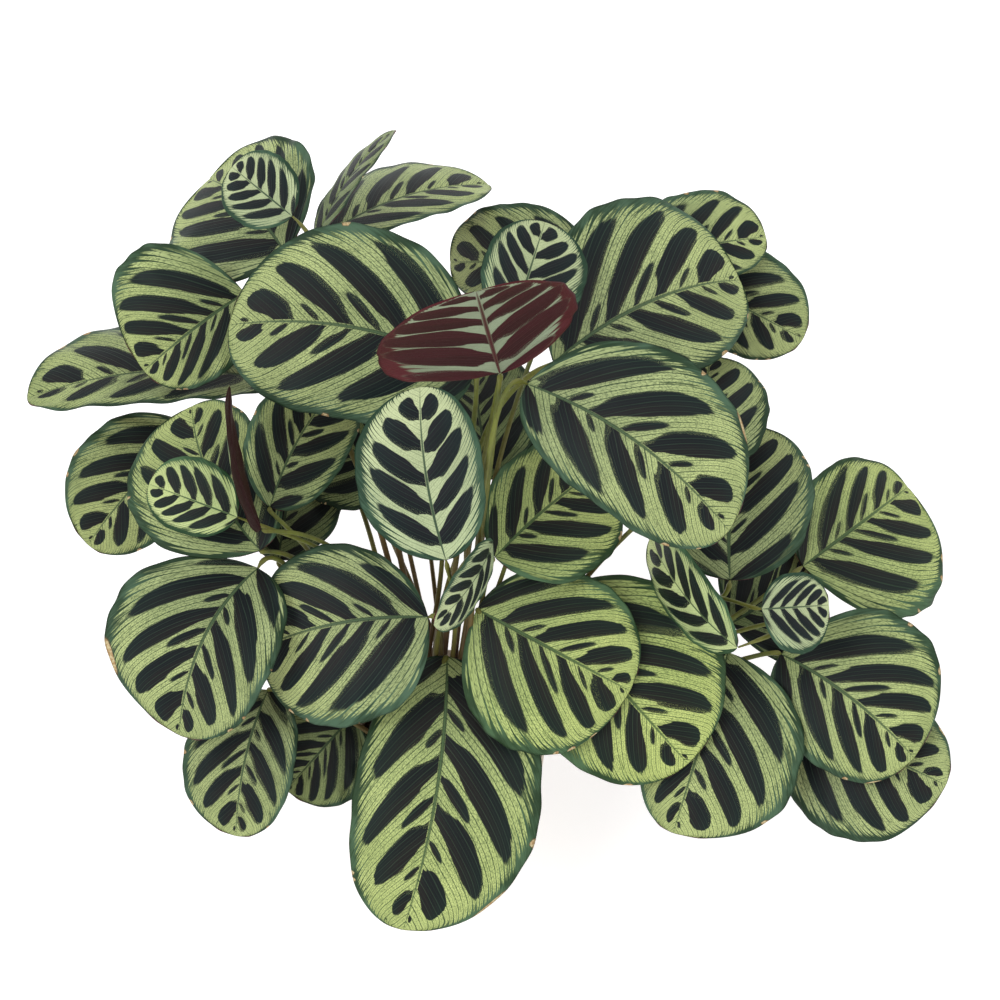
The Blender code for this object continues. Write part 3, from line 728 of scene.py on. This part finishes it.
# %% [markdown]
# The ovals could be drawn one by one with a chain of nodes each. A colour ramp with hard steps is
# shorter: used as a table, it gives the middle, the end and the half thickness of the oval that
# belongs to each place along the midrib. A ramp is one node, however many ovals it holds. It only
# knows places from 0 to 1, so s is squeezed into that span before and let out again after.

# %% The ovals as a table
FIRST_START = -0.40
LAST_START = 1.05
START_SPAN = LAST_START - FIRST_START
HALF_WIDTH_STORE = 10.0


def oval_steps(tree, ovals, s):
    """A ramp of steps, one for each oval, that gives the middle, the end and the half thickness."""
    node = tree.nodes.new("ShaderNodeValToRGB")
    ramp = node.color_ramp
    ramp.interpolation = "CONSTANT"
    borders = [FIRST_START]
    for (middle, _, half), (after, _, after_half) in zip(ovals, ovals[1:]):
        borders.append((middle + half + after - after_half) / 2)
    while len(ramp.elements) < len(ovals):
        ramp.elements.new(1.0)
    for step, border, (middle, end, half) in zip(ramp.elements, borders, ovals):
        step.position = (border - FIRST_START) / START_SPAN
        step.color = ((middle - FIRST_START) / START_SPAN, end, half / START_SPAN * HALF_WIDTH_STORE, 1.0)
    plug(tree, (s - FIRST_START) / START_SPAN, node.inputs[0])
    return Wire(tree, node.outputs["Color"])


def random_numbers(tree, seed):
    """Three numbers from 0 to 1 that stay the same as long as the seed does."""
    settings = {"noise_dimensions": "1D"}
    return split(tree, place(tree, "ShaderNodeTexWhiteNoise", settings, "Color", W=seed))


# %% [markdown]
# Leaf colours. The same few effects are needed by the grown leaf, the young leaf and their
# undersides, so they are built once as a shader node group: the dark ovals in two tones, the
# side veins as thin dark lines, the fine net between them, the dark margin with its saw of
# points and its patches of painted sheen, and the thin midrib. Each material then gives the
# group its own colours.

# %% The leaf pattern as a node group
PATTERN_COLOURS = ("Ground", "Ground Tip", "Oval Dark", "Oval Brown", "Oval End", "Margin",
                   "Margin Sheen", "Rib")
PATTERN_NUMBERS = ("Margin Start", "Saw Depth", "Vein Strength", "Spread", "Reach")
# Side veins from base to tip, with as many fainter ones between, and the cells of the fine net
MAIN_VEINS = 32.0
MAIN_SHARPNESS = 0.20
MINOR_VEINS = 64.0
MINOR_SHARPNESS = 0.30
VEIN_DRIFT = 0.8
NET_ALONG = 104.0
NET_ACROSS = 42.0
MINOR_SHARE = 0.38
NET_SHARE = 0.58
# How far the ovals of a leaf move together, and how far each one moves, grows and thickens
SIDE_SHIFT = 0.03
OVAL_SHIFT = 0.016
LEAST_LENGTH, MORE_LENGTH = 0.94, 0.10
LEAST_WIDTH, MORE_WIDTH = 0.88, 0.24
# The shape of an oval: start, widest place, end of the neck, its width, and roundness
OVAL_START = 0.022
OVAL_WAIST = 0.52
OVAL_TAPER = 0.40
OVAL_NECK = 0.46
OVAL_ROUNDNESS = 2.3


def vein_lines(start, drift, count, sharpness):
    """Thin lines along the side veins: how close the next one is, and 1 on a vein."""
    saw = (start * count + (drift - 0.5) * VEIN_DRIFT).math("FRACT")
    closeness = (saw - 0.5).size() * 2.0
    return closeness, closeness.smooth(1.0 - sharpness, 1.0)


def pattern_group(name, wide_side, narrow_side):
    """Everything that is drawn on a blade, from its own coordinates."""
    tree, given, result = new_tree(
        name, "ShaderNodeTree", {"Color": PATTERN_COLOURS, "Float": PATTERN_NUMBERS},
        {"Color": ("Color",), "Float": ("Dark", "Height")})
    u, v, _ = split(tree, attribute(tree, "leaf_uv", "Vector"))
    start, thick, long = split(tree, attribute(tree, "veins", "Vector"))
    wide, seed, _ = split(tree, attribute(tree, "leaf_own", "Vector"))
    q = v.size()
    side = v.math("SIGN")
    cloudy = noise(tree, 28.0, 3.0, 0.55, own_place(tree))
    fine = noise(tree, 900.0, 2.0, 0.6, own_place(tree))
    on_veins = place(tree, "ShaderNodeCombineXYZ", X=start * MAIN_VEINS, Y=q * 2.0, Z=side * 7.0 + seed)
    fibres = noise(tree, 2.6, 2.0, 0.6, on_veins)
    drift = noise(tree, 0.9, 1.0, 0.5, on_veins)

    # Veins and the net between them
    main_close, main_veins = vein_lines(start, drift, MAIN_VEINS, MAIN_SHARPNESS)
    minor_close, minor_veins = vein_lines(start, drift, MINOR_VEINS, MINOR_SHARPNESS)
    cells = place(tree, "ShaderNodeCombineXYZ", X=start * NET_ALONG, Y=q * NET_ACROSS, Z=side)
    edges = {"feature": "DISTANCE_TO_EDGE"}
    net = place(tree, "ShaderNodeTexVoronoi", edges, Scale=1.0, Vector=cells).smooth(0.02, 0.16, 1.0, 0.0)

    # The oval that this point belongs to: its middle, end and half thickness, a little changed
    side_shift, _, _ = random_numbers(tree, seed + side)
    shifted = start + (side_shift - 0.5) * SIDE_SHIFT
    is_wide = (wide * side).math("GREATER_THAN", 0.0)
    steps = mix(tree, is_wide, oval_steps(tree, narrow_side, shifted),
                oval_steps(tree, wide_side, shifted))
    middle, end, half = split(tree, steps)
    moved, longer, thicker = random_numbers(tree, middle * 91.0 + seed + side)
    half = half * (START_SPAN / HALF_WIDTH_STORE) * (thicker * MORE_WIDTH + LEAST_WIDTH)
    middle = middle * START_SPAN + FIRST_START + (moved - 0.5) * OVAL_SHIFT
    end = end * (longer * MORE_LENGTH + LEAST_LENGTH) + given["Reach"]

    # Inside or outside of it, in mm, with frayed ends that run on into the margin
    along = (q - OVAL_START) / (end - OVAL_START)
    along = along + (fibres - 0.5) * along.smooth(0.5, 1.1, 0.03, 0.26)
    across = (shifted - middle) / half + (drift - 0.5) * 0.5
    sideways = (across / along.smooth(0.0, OVAL_TAPER, OVAL_NECK, 1.0)).size()
    outward = ((along - OVAL_WAIST) / (1.0 - OVAL_WAIST)).math("MAXIMUM", 0.0)
    round_out = outward.math("POWER", OVAL_ROUNDNESS) + sideways.math("POWER", OVAL_ROUNDNESS)
    inside = (1.0 - round_out.math("POWER", 1.0 / OVAL_ROUNDNESS)) * half * thick
    oval = (inside + given["Spread"] + (fibres - 0.5)).smooth(-0.25, 0.25)
    oval = oval * ((q - OVAL_START) * long).smooth(-0.2, 0.4)
    beyond = along.smooth(0.85, 1.0) * (1.0 - sideways).smooth(0.0, 0.5)
    feathers = (fibres + (q - 0.9) * 0.5 + beyond * 0.12).smooth(0.60, 0.68) * beyond

    # The pale ground with its lines
    ground = mix(tree, u.smooth(0.15, 0.95), given["Ground"], given["Ground Tip"])
    ground = mix(tree, cloudy.smooth(0.3, 0.7, 0.0, 0.25), ground, given["Rib"], "MULTIPLY")
    lines = main_veins * fibres.smooth(0.3, 0.6, 0.6, 1.0)
    lines = (lines + minor_veins * MINOR_SHARE + net * NET_SHARE).math("MINIMUM", 1.0)
    ground = mix(tree, lines * given["Vein Strength"], ground, given["Margin"])
    ground = mix(tree, feathers * 0.8, ground, given["Margin"])

    # The ovals in two tones
    two_tone = (across + (fibres - 0.5) * 1.2 + (cloudy - 0.5)).smooth(-0.30, 0.40)
    dark = mix(tree, two_tone, given["Oval Dark"], given["Oval Brown"])
    dark = mix(tree, along.smooth(0.35, 1.0, 0.0, 0.65), dark, given["Oval End"])
    # The veins inside the ovals, drawn lighter: real veins with painted sheen along them
    dark = mix(tree, main_veins * 0.22 + minor_veins * 0.08, dark, given["Margin Sheen"])
    paint = mix(tree, oval, ground, dark)

    # The margin, with teeth that run in along the veins, and patches of painted sheen on it
    saw = main_close.math("POWER", 3.0) * given["Saw Depth"] * (fibres + 0.5)
    saw = saw + minor_close.math("POWER", 2.0) * given["Saw Depth"] * 0.35
    border = q + saw + u.smooth(0.0, 0.12, 0.35, 0.0) + (drift - 0.5) * 0.06
    border = (border + (fine - 0.5) * 0.02 - given["Margin Start"]).smooth(-0.015, 0.025)
    # Painted sheen: lighter patches on the dark margin, where it catches the light
    painted_sheen = (cloudy * 1.4 + (fibres - 0.5) * 0.6 - 0.2).smooth(0.35, 0.75)
    edge_colour = mix(tree, painted_sheen, given["Margin"], given["Margin Sheen"])
    paint = mix(tree, border * (1.0 - oval * 0.8), paint, edge_colour)

    # The midrib, a pale line between two dark ones, thinner towards the tip
    on_rib = q * u.smooth(0.0, 1.0, 1.0, 1.8)
    rib_edge = on_rib.smooth(0.018, 0.034, 1.0, 0.0) * u.smooth(0.3, 1.0, 0.9, 0.5)
    rib = on_rib.smooth(0.005, 0.014, 1.0, 0.0) * u.smooth(0.75, 1.0, 0.9, 0.4)
    paint = mix(tree, rib_edge, paint, given["Margin"])
    paint = mix(tree, rib, paint, given["Rib"])

    dark_share = (oval + border).math("MINIMUM", 1.0)
    height = main_veins * -0.6 + minor_veins * -0.25 + net * -0.12 + fine * 0.1
    for label, value in (("Color", paint), ("Dark", dark_share), ("Height", height)):
        plug(tree, value, result.inputs[label])
    return tree


GROWN_PATTERN = pattern_group("grown_pattern", WIDE_SIDE, NARROW_SIDE)
YOUNG_PATTERN = pattern_group("young_pattern", YOUNG_SIDE, YOUNG_SIDE)
print("leaf pattern:", len(GROWN_PATTERN.nodes), "nodes")

# %% [markdown]
# The blade's material. The upper face and the underside of a blade are different: the underside
# of this plant is wine red, most of all on young leaves. One material carries both, told apart
# by an attribute that the leaf tree wrote on its faces. The wax on a real leaf makes it satin,
# and a little rougher on the dark places. Each leaf also has its own tone of green, and the
# leaves that lie in the shadow of others are darkened with painted shade. A few margins have
# dried to cream, as the old leaves of this plant do.

# %% Blade finishes
BLADE_SHEEN = 0.16
VEIN_STRENGTH = 0.35
VEIN_DEPTH = 0.0006


def pattern_look(colours, numbers):
    """The pattern group's inputs by name, from its colours and its numbers in their order."""
    values = [colour(digits) for digits in colours] + list(numbers)
    return dict(zip(PATTERN_COLOURS + PATTERN_NUMBERS, values))


def blade_material(name, pattern, upper, under, roughness, red_under):
    made, tree, shader = new_material(name)
    top = use_group(tree, pattern, upper)
    below = use_group(tree, pattern, under)
    underside = attribute(tree, "underside")
    tone_and_painted_shade, dry, red = split(tree, attribute(tree, "leaf_shade", "Vector"))
    blotchy = noise(tree, 45.0, 3.0, 0.6, own_place(tree))
    fine = noise(tree, 700.0, 2.0, 0.6, own_place(tree))

    # The leaf's own tone of green, darkened with painted shade on the leaves in the shadow of
    # others, and its dried margin: a brown rim, then cream
    fresh = mix(tree, tone_and_painted_shade.smooth(0.0, 1.0, 0.0, 0.75), top["Color"], colour("DDE59A"), "OVERLAY")
    # Painted shade: a dull green multiplied over the leaves with the lowest values
    fresh = mix(tree, tone_and_painted_shade.smooth(-1.0, 0.0, 0.6, 0.0), fresh, colour("6E8463"), "MULTIPLY")
    ragged_dry = dry + (blotchy - 0.5) * 0.5
    dried = ragged_dry.smooth(0.42, 0.52)
    rim = ragged_dry.smooth(0.34, 0.44) * (1.0 - dried)
    dry_colour = mix(tree, fine.smooth(0.35, 0.65), colour("CDBE94"), colour("A9875C"))
    fresh = mix(tree, rim * 0.7, fresh, colour("6B4A2E"))
    fresh = mix(tree, dried, fresh, dry_colour)

    beneath = mix(tree, red_under, below["Color"], colour("5A2A36"))
    beneath = mix(tree, red, beneath, colour("2E0F10"))
    paint = mix(tree, underside, fresh, beneath)
    gloss = fine * 0.10 + blotchy * 0.08 + roughness
    gloss = gloss + top["Dark"] * 0.05 + underside * 0.12 + dried * 0.2
    dress(tree, shader, paint, gloss, top["Height"], VEIN_STRENGTH, VEIN_DEPTH)
    shader.inputs["Specular IOR Level"].default_value = BLADE_SHEEN
    return made


# Colours: ground, ground near the tip, the ovals dark, brown and at their ends, margin dark and
# with its painted sheen, midrib. Numbers: start of the margin, depth of its teeth, strength of
# the veins, and how much wider and longer the ovals are
GROWN_UPPER = pattern_look(
    ("B1BF86", "C9D690", "11171A", "1B1A1B", "162423", "2A3F2B", "4B6650", "4E6446"),
    (0.93, 0.16, 0.92, 0.1, 0.0))
GROWN_UNDER = pattern_look(
    ("8E9C7A", "98A583", "451820", "55222C", "4E1E28", "56222D", "63303B", "7D8C55"),
    (0.86, 0.14, 0.35, 0.4, 0.0))
YOUNG_UPPER = pattern_look(
    ("C0CEA0", "CFDAA8", "10161A", "181A1F", "172426", "263F2E", "46634E", "40573F"),
    (0.91, 0.24, 0.45, 0.1, 0.0))
YOUNG_UNDER = pattern_look(
    ("8E9C80", "98A68A", "2E0B0F", "380F15", "3A1016", "451318", "521C22", "451318"),
    (0.86, 0.10, 0.18, 1.2, 0.12))
BLADE_FINISHES = {
    "grown": blade_material("grown_blade", GROWN_PATTERN, GROWN_UPPER, GROWN_UNDER, 0.30, 0.45),
    "young": blade_material("young_blade", YOUNG_PATTERN, YOUNG_UPPER, YOUNG_UNDER, 0.28, 0.0),
}
print("blade finishes:", ", ".join(made.name for made in BLADE_FINISHES.values()))

# %% [markdown]
# The stalks are smooth and thin. They are olive green above, browner towards the soil, and the
# joint just under the blade, with which the plant turns its leaves, is a lighter yellow green.
# The leaf tree left the place along the stalk on the mesh, so the colours follow each stalk
# however it bends.

# %% Stalk finish
STALK_SHEEN = 0.3
STALK_STREAKS = (1.0, 1.0, 0.12)


def stalk_material():
    made, tree, shader = new_material("leaf_stalk")
    t = attribute(tree, "along_stalk")
    streaks = stretched_noise(tree, 420.0, 3.0, 0.55, own_place(tree), STALK_STREAKS)
    patches = noise(tree, 35.0, 2.0, 0.5, own_place(tree))
    green = mix(tree, patches.smooth(0.35, 0.7), colour("6F7631"), colour("565F2C"))
    brown = mix(tree, patches, colour("5C412B"), colour("6C5734"))
    paint = mix(tree, t.smooth(0.20, 0.75), brown, green)
    paint = mix(tree, t.smooth(0.86, 0.92), paint, colour("6C6E30"))
    paint = mix(tree, streaks.smooth(0.45, 0.7, 0.0, 0.45), paint, colour("4E4A20"))
    dress(tree, shader, paint, streaks * 0.15 + 0.34, streaks, 0.25, 0.0004)
    shader.inputs["Specular IOR Level"].default_value = STALK_SHEEN
    return made


LEAF_STALK = stalk_material()
print("stalk finish:", LEAF_STALK.name)

# %% [markdown]
# Now the leaves themselves. Each leaf of the table gives its numbers to the tree, and the result
# becomes a plain mesh that stands for the leaf's solid of the same name. The attributes for the
# material are then worked out point by point from the u and v that the tree left on the mesh.

# %% Grow the leaves
# How light a leaf is, from -1 dull to 1 bright, where it isn't drawn from the usual range of
# tones. The darkest values are painted shade, for the leaves that lie in the shadow of others.
TONES_AND_PAINTED_SHADE = {
    "leaf_middle_shaded": -0.9, "leaf_middle_dark": -1.0, "leaf_left_shaded": -0.9,
    "leaf_left_hidden": -0.8, "leaf_right_hidden": -0.9, "leaf_frontleft_hidden": -0.7,
    "leaf_middle_back": -0.2, "leaf_backright_far": 0.1, "leaf_right_back": -0.3,
    "leaf_backleft_edge": -0.8, "leaf_backleft_flat": -0.35, "leaf_backleft_pointed": -0.15,
}
USUAL_TONES = (-0.25, 0.45)
# How wine red the whole leaf is, where it is the underside of a leaf that is still folded
RED = {"leaf_left_edge": 1.0}
# Dried places: u of the middle, side of the margin, length along u, depth in q
DRIED = {
    "leaf_frontleft_outer": (0.78, 1, 0.07, 0.07), "leaf_front_large": (0.86, -1, 0.05, 0.03),
    "leaf_left_outer": (0.62, 1, 0.03, 0.03), "leaf_right_large": (0.9, 1, 0.03, 0.03),
    "leaf_right_low": (0.85, -1, 0.03, 0.03), "leaf_middle_large": (0.80, -1, 0.05, 0.03),
}
# Dry flecks on each grown leaf: how many, range of u, range of lengths, depth, and their softness
DRY_FLECKS = 3
FLECK_PLACES = (0.45, 0.98)
FLECK_LENGTHS = (0.006, 0.016)
FLECK_DEPTH = 0.04
DRY_FALL = 0.7
# Height of the small waves along the margins, less on the leaves that are seen edge on
FLUTES = {"grown": 0.0010, "young": 0.0004}
STIFF = {"leaf_left_edge": 0.2, "leaf_backleft_edge": 0.3, "leaf_backleft_pointed": 0.5}
PATTERN_SEEDS = 50.0


def stalk_controls(leaf):
    """The control points of the stalk, and where its buried end stops."""
    outward = np.array([leaf.crown[0], leaf.crown[1], 0.0]) * CROWN_SPREAD / CROWN_RADIUS
    foot = np.array([leaf.crown[0], leaf.crown[1], SOIL_TOP])
    start = unit(outward + np.array([0.0, 0.0, 1.0]))
    reach = np.linalg.norm(leaf.base - foot)
    ending = unit(leaf.along - leaf.dip * leaf.face)
    first = foot + start * reach * leaf.rise
    third = leaf.base - ending * reach * leaf.tail
    second = (first + third) / 2 + leaf.swing
    buried = foot - start * STALK_DEPTH
    return {"Buried": buried, "Foot": foot, "First": first, "Second": second, "Third": third}


def dryness(leaf, u, v, draw):
    """1 in the middle of a dried place of the margin, falling to 0 around it."""
    spots = [DRIED[leaf.name]] if leaf.name in DRIED else []
    for _ in range(DRY_FLECKS if leaf.kind == "grown" else 0):
        middle = draw.uniform(*FLECK_PLACES)
        side = draw.choice([-1, 1])
        spots.append((middle, side, draw.uniform(*FLECK_LENGTHS), FLECK_DEPTH))
    dry = np.zeros(u.shape)
    for middle, side, length, deep in spots:
        along = (u - middle) / length
        inwards = np.clip((1 - v * side) / deep, 0, None)
        dry = np.maximum(dry, np.exp(-DRY_FALL * (along**2 + inwards**2)))
    return dry


def write_vectors(mesh, name, x, y, z):
    """Writes three values, or the same one everywhere, on every point of a mesh."""
    columns = [np.broadcast_to(column, len(mesh.vertices)) for column in (x, y, z)]
    field = mesh.attributes.new(name, "FLOAT_VECTOR", "POINT")
    field.data.foreach_set("vector", np.stack(columns, axis=1).astype(np.float32).ravel())


def grow(leaf):
    made = run_tree(leaf.name + "_fine", LEAF_TREE, {
        "Length": leaf.length, "Width": leaf.width, "Uneven": leaf.uneven, "Bend": leaf.bend,
        "Fold": leaf.fold, "Cup": leaf.cup,
        "Flute": FLUTES[leaf.kind] * STIFF.get(leaf.name, 1.0),
        "Base": leaf.base, "Tip": leaf.tip, "Across": leaf.across, "Face": leaf.face,
        "Blade Finish": BLADE_FINISHES[leaf.kind], "Stalk Finish": LEAF_STALK,
        **stalk_controls(leaf),
    })
    mesh = made.data
    uv = np.zeros(len(mesh.vertices) * 3, np.float32)
    mesh.attributes["leaf_uv"].data.foreach_get("vector", uv)
    u, v = uv.reshape(-1, 3)[:, 0], uv.reshape(-1, 3)[:, 1]
    draw = np.random.default_rng(len(leaf.name) * 7 + ord(leaf.name[-1]) + ord(leaf.name[5]))
    tone_and_painted_shade = TONES_AND_PAINTED_SHADE.get(leaf.name, draw.uniform(*USUAL_TONES))
    write_vectors(mesh, "veins", *leaf_veins(leaf, u, v))
    write_vectors(mesh, "leaf_own", wide_half(leaf), draw.uniform(0.0, PATTERN_SEEDS), 0.0)
    write_vectors(mesh, "leaf_shade", tone_and_painted_shade, dryness(leaf, u, v, draw), RED.get(leaf.name, 0.0))
    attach(made, "root")
    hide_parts(leaf.name)
    return made


leaves = [grow(leaf) for leaf in LEAVES]
print(len(leaves), "leaves,", sum(len(leaf.data.polygons) for leaf in leaves), "faces")

# %% [markdown]
# The pot is a turned shape: one profile, carried once round the axis. The solid has 48 sides,
# which shows as corners on the rim, so the piece that stands for it is turned again with more
# sides and with rounder lips. The pale fired clay is matt, with fine grains, faint rings from the
# mould and a paler bloom of lime low on the wall.

# %% The pot
POT_RIM_RADIUS = 0.062
POT_FOOT_RADIUS = 0.046
POT_HEIGHT = 0.122
POT_WALL = 0.0042
POT_FLOOR = 0.006
RIM_BAND_HEIGHT = 0.020
RIM_BAND_STEP = 0.0030
RIM_BAND_GAP = 0.0004
POT_LIP = 0.0015
POT_SIDES = 192
LIP_STEPS = 4
SHARP_CORNER = radians(50)


def rounded(radius, height, start, end):
    """Points of an arc of the lip's radius in a profile, from one angle in degrees to another."""
    angles = np.radians(np.linspace(start, end, LIP_STEPS + 1))
    return [(radius + POT_LIP * cos(angle), height + POT_LIP * sin(angle)) for angle in angles]


def pot_profile():
    """Radius and height, from the middle of the floor inside, over the rim, to the underside."""
    lip = POT_LIP
    band_foot = POT_HEIGHT - RIM_BAND_HEIGHT
    outer_top = POT_RIM_RADIUS - RIM_BAND_STEP
    inner_top = outer_top - POT_WALL
    outer_floor = POT_FOOT_RADIUS + (outer_top - POT_FOOT_RADIUS) * POT_FLOOR / band_foot
    return [
        (0.0, POT_FLOOR),
        *rounded(outer_floor - POT_WALL - lip, POT_FLOOR + lip, -90, 0),
        (inner_top, band_foot),
        *rounded(inner_top + lip, POT_HEIGHT - lip, 180, 90),
        *rounded(POT_RIM_RADIUS - lip, POT_HEIGHT - lip, 90, 0),
        *rounded(POT_RIM_RADIUS - lip, band_foot + lip, 0, -90),
        (outer_top, band_foot - RIM_BAND_GAP),
        *rounded(POT_FOOT_RADIUS - lip, lip, 0, -90),
        (0.0, 0.0),
    ]


def clay_material():
    made, tree, shader = new_material("pot_clay")
    here = own_place(tree)
    _, _, height = split(tree, here)
    clouds = noise(tree, 22.0, 4.0, 0.6, here)
    grains = noise(tree, 900.0, 2.0, 0.7, here)
    rings = stretched_noise(tree, 260.0, 1.0, 0.5, here, (0.02, 0.02, 1.0))
    paint = mix(tree, clouds.smooth(0.3, 0.7), colour("B9AD9B"), colour("C6BBA9"))
    paint = mix(tree, grains.smooth(0.55, 0.75, 0.0, 0.5), paint, colour("9C907E"))
    bloom = (clouds + (0.03 - height) * 9.0).smooth(0.45, 0.85, 0.0, 0.4)
    paint = mix(tree, bloom, paint, colour("DAD2C4"))
    dress(tree, shader, paint, grains * 0.15 + 0.74, grains + rings * 1.5, 0.35, 0.0005)
    return made


def turned(name, profile, sides, material):
    """A closed mesh from a profile that starts and ends on the axis."""
    mesh = bmesh.new()
    angles = [2 * pi * k / sides for k in range(sides)]
    columns = [[mesh.verts.new((r * cos(a), r * sin(a), z)) for r, z in profile] for a in angles]
    for here, after in zip(columns, columns[1:] + columns[:1]):
        for low in range(len(profile) - 1):
            mesh.faces.new((here[low], here[low + 1], after[low + 1], after[low]))
    bmesh.ops.remove_doubles(mesh, verts=mesh.verts, dist=SAME_PLACE)
    bmesh.ops.dissolve_degenerate(mesh, edges=mesh.edges, dist=SAME_PLACE)
    bmesh.ops.recalc_face_normals(mesh, faces=mesh.faces)
    data = bpy.data.meshes.new(name)
    mesh.to_mesh(data)
    mesh.free()
    data.materials.append(material)
    data.shade_smooth()
    data.set_sharp_from_angle(angle=SHARP_CORNER)
    return link_object(name, data)


pot = turned("pot_turned", pot_profile(), POT_SIDES, clay_material())
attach(pot, "root")
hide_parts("pot")
print("pot:", len(pot.data.polygons), "faces")

# %% [markdown]
# Potting soil is dark, damp and crumbly. The solid has the right shape and the right holes for
# the stalks, so it stays and only gets a better finish. What it lacks is crumbs. There are
# hundreds of them, all different, so a second node tree scatters them: it throws points on a disc,
# lays a small rough ball on each with its own size and turn, and lowers those near the wall, where
# the soil falls away.

# %% Soil
SOIL_EDGE = POT_RIM_RADIUS - RIM_BAND_STEP - POT_WALL - 0.0045
SOIL_FALL = 0.003
CRUMB_DENSITY = 130000.0
CRUMB_SEED = 7
CRUMB_LEAST = 0.0005
CRUMB_MOST = 0.0021
CRUMB_ROUGHNESS = 1.4
DISC_SIDES = 48
FULL_TURN = (2 * pi, 2 * pi, 2 * pi)


def soil_material():
    made, tree, shader = new_material("potting_soil")
    lumps = noise(tree, 160.0, 5.0, 0.7, own_place(tree))
    fibres = stretched_noise(tree, 700.0, 2.0, 0.6, own_place(tree), (1.0, 0.25, 1.0))
    paint = mix(tree, lumps.smooth(0.35, 0.7), colour("2A1D15"), colour("4A3527"))
    paint = mix(tree, fibres.smooth(0.62, 0.72, 0.0, 0.6), paint, colour("6E5540"))
    dress(tree, shader, paint, lumps * 0.2 + 0.75, lumps * 2.0 + fibres, 0.6, 0.0012)
    return made


def crumb_tree():
    tree, given, ending = new_geometry_tree(
        "soil_crumbs", Float=("Radius", "Flat Radius", "Height", "Fall", "Density", "Least", "Most"),
        Material=("Finish",))
    disc = place(tree, "GeometryNodeMeshCircle", {"fill_type": "TRIANGLE_FAN"},
                 Vertices=DISC_SIDES, Radius=given["Radius"])
    points = place(tree, "GeometryNodeDistributePointsOnFaces", Mesh=disc,
                   Density=given["Density"], Seed=CRUMB_SEED)
    where = place(tree, "GeometryNodeInputPosition")
    past_flat = where.vector("LENGTH") - given["Flat Radius"]
    drop = (past_flat / (given["Radius"] - given["Flat Radius"])).math("MAXIMUM", 0.0)
    lift = place(tree, "ShaderNodeCombineXYZ", Z=given["Height"] - drop * given["Fall"])
    laid = place(tree, "GeometryNodeSetPosition", Geometry=points, Offset=lift)
    ball = place(tree, "GeometryNodeMeshIcoSphere", Radius=1.0, Subdivisions=2)
    lumpy = place(tree, "ShaderNodeTexNoise", Scale=1.3)
    rough = place(tree, "GeometryNodeSetPosition", Geometry=ball,
                  Offset=where.times((lumpy - 0.5) * CRUMB_ROUGHNESS))
    size = tree.nodes.new("FunctionNodeRandomValue")
    turn = tree.nodes.new("FunctionNodeRandomValue")
    size.data_type = "FLOAT"
    turn.data_type = "FLOAT_VECTOR"
    plug(tree, given["Least"], size.inputs[2])
    plug(tree, given["Most"], size.inputs[3])
    plug(tree, FULL_TURN, turn.inputs[1])
    plug(tree, CRUMB_SEED + 1, size.inputs["Seed"])
    plug(tree, CRUMB_SEED + 2, turn.inputs["Seed"])
    spread = place(tree, "GeometryNodeInstanceOnPoints", Points=laid, Instance=rough,
                   Rotation=Wire(tree, turn.outputs[0]), Scale=Wire(tree, size.outputs[1]))
    finish_tree(tree, ending, spread, given["Finish"])
    return tree


earth = soil_material()
for slot in bpy.data.objects["soil"].material_slots:
    slot.material = earth
crumbs = run_tree("soil_crumbs", crumb_tree(), {
    "Radius": SOIL_EDGE, "Flat Radius": CROWN_RADIUS, "Height": SOIL_TOP, "Fall": SOIL_FALL,
    "Density": CRUMB_DENSITY, "Least": CRUMB_LEAST, "Most": CRUMB_MOST, "Finish": earth,
})
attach(crumbs, "root")
print("crumbs:", len(crumbs.data.polygons), "faces")

# %% [markdown]
# The photograph is a bright one, with hardly a shadow, as plants for a catalogue are shown. A wide
# pale floor, an even pale world and three large soft lights give that, with the main light high on
# the left, so that the blades keep their form and their satin shine. The floor glows a little,
# because a white that only reflects would come out grey under soft light.

# %% Floor and lights
FLOOR_SIZE = 40.0
FLOOR_WHITE = 0.93
FLOOR_ROUGHNESS = 0.9
FLOOR_SHEEN = 0.2
FLOOR_GLOW = 0.45
WORLD_WHITE = 0.80
WHITE = (1.0, 1.0, 1.0, 1.0)
# Name, place, size, watts
LIGHTS = [
    ("light_main", (-1.4, -0.9, 2.4), 1.6, 24.0),
    ("light_right", (1.8, -0.6, 1.8), 1.8, 8.0),
    ("light_back", (0.2, 1.9, 2.0), 1.8, 8.0),
]
AIM = Vector((0.0, 0.10, 0.25))

paper, _, paper_shader = new_material("floor_paper")
for name, value in (("Base Color", (FLOOR_WHITE, FLOOR_WHITE, FLOOR_WHITE, 1.0)),
                    ("Roughness", FLOOR_ROUGHNESS), ("Specular IOR Level", FLOOR_SHEEN),
                    ("Emission Color", WHITE), ("Emission Strength", FLOOR_GLOW)):
    paper_shader.inputs[name].default_value = value
floor_mesh = bpy.data.meshes.new("floor")
far = FLOOR_SIZE / 2
corners = [(-far, -far, 0), (far, -far, 0), (far, far, 0), (-far, far, 0)]
floor_mesh.from_pydata(corners, [], [(0, 1, 2, 3)])
floor_mesh.materials.append(paper)
floor = link_object("floor", floor_mesh)

for name, where, size, watts in LIGHTS:
    lamp = bpy.data.lights.new(name, "AREA")
    lamp.shape = "DISK"
    lamp.size = size
    lamp.energy = watts
    holder = link_object(name, lamp)
    holder.location = where
    holder.rotation_euler = (AIM - Vector(where)).to_track_quat("-Z", "Y").to_euler()

world = bpy.data.worlds.new("pale_studio")
world.use_nodes = True
background = world.node_tree.nodes["Background"]
background.inputs["Color"].default_value = WHITE
background.inputs["Strength"].default_value = WORLD_WHITE
bpy.context.scene.world = world
bpy.context.scene.view_settings.view_transform = "Standard"
print("floor of", FLOOR_SIZE, "m and", len(LIGHTS), "lights")
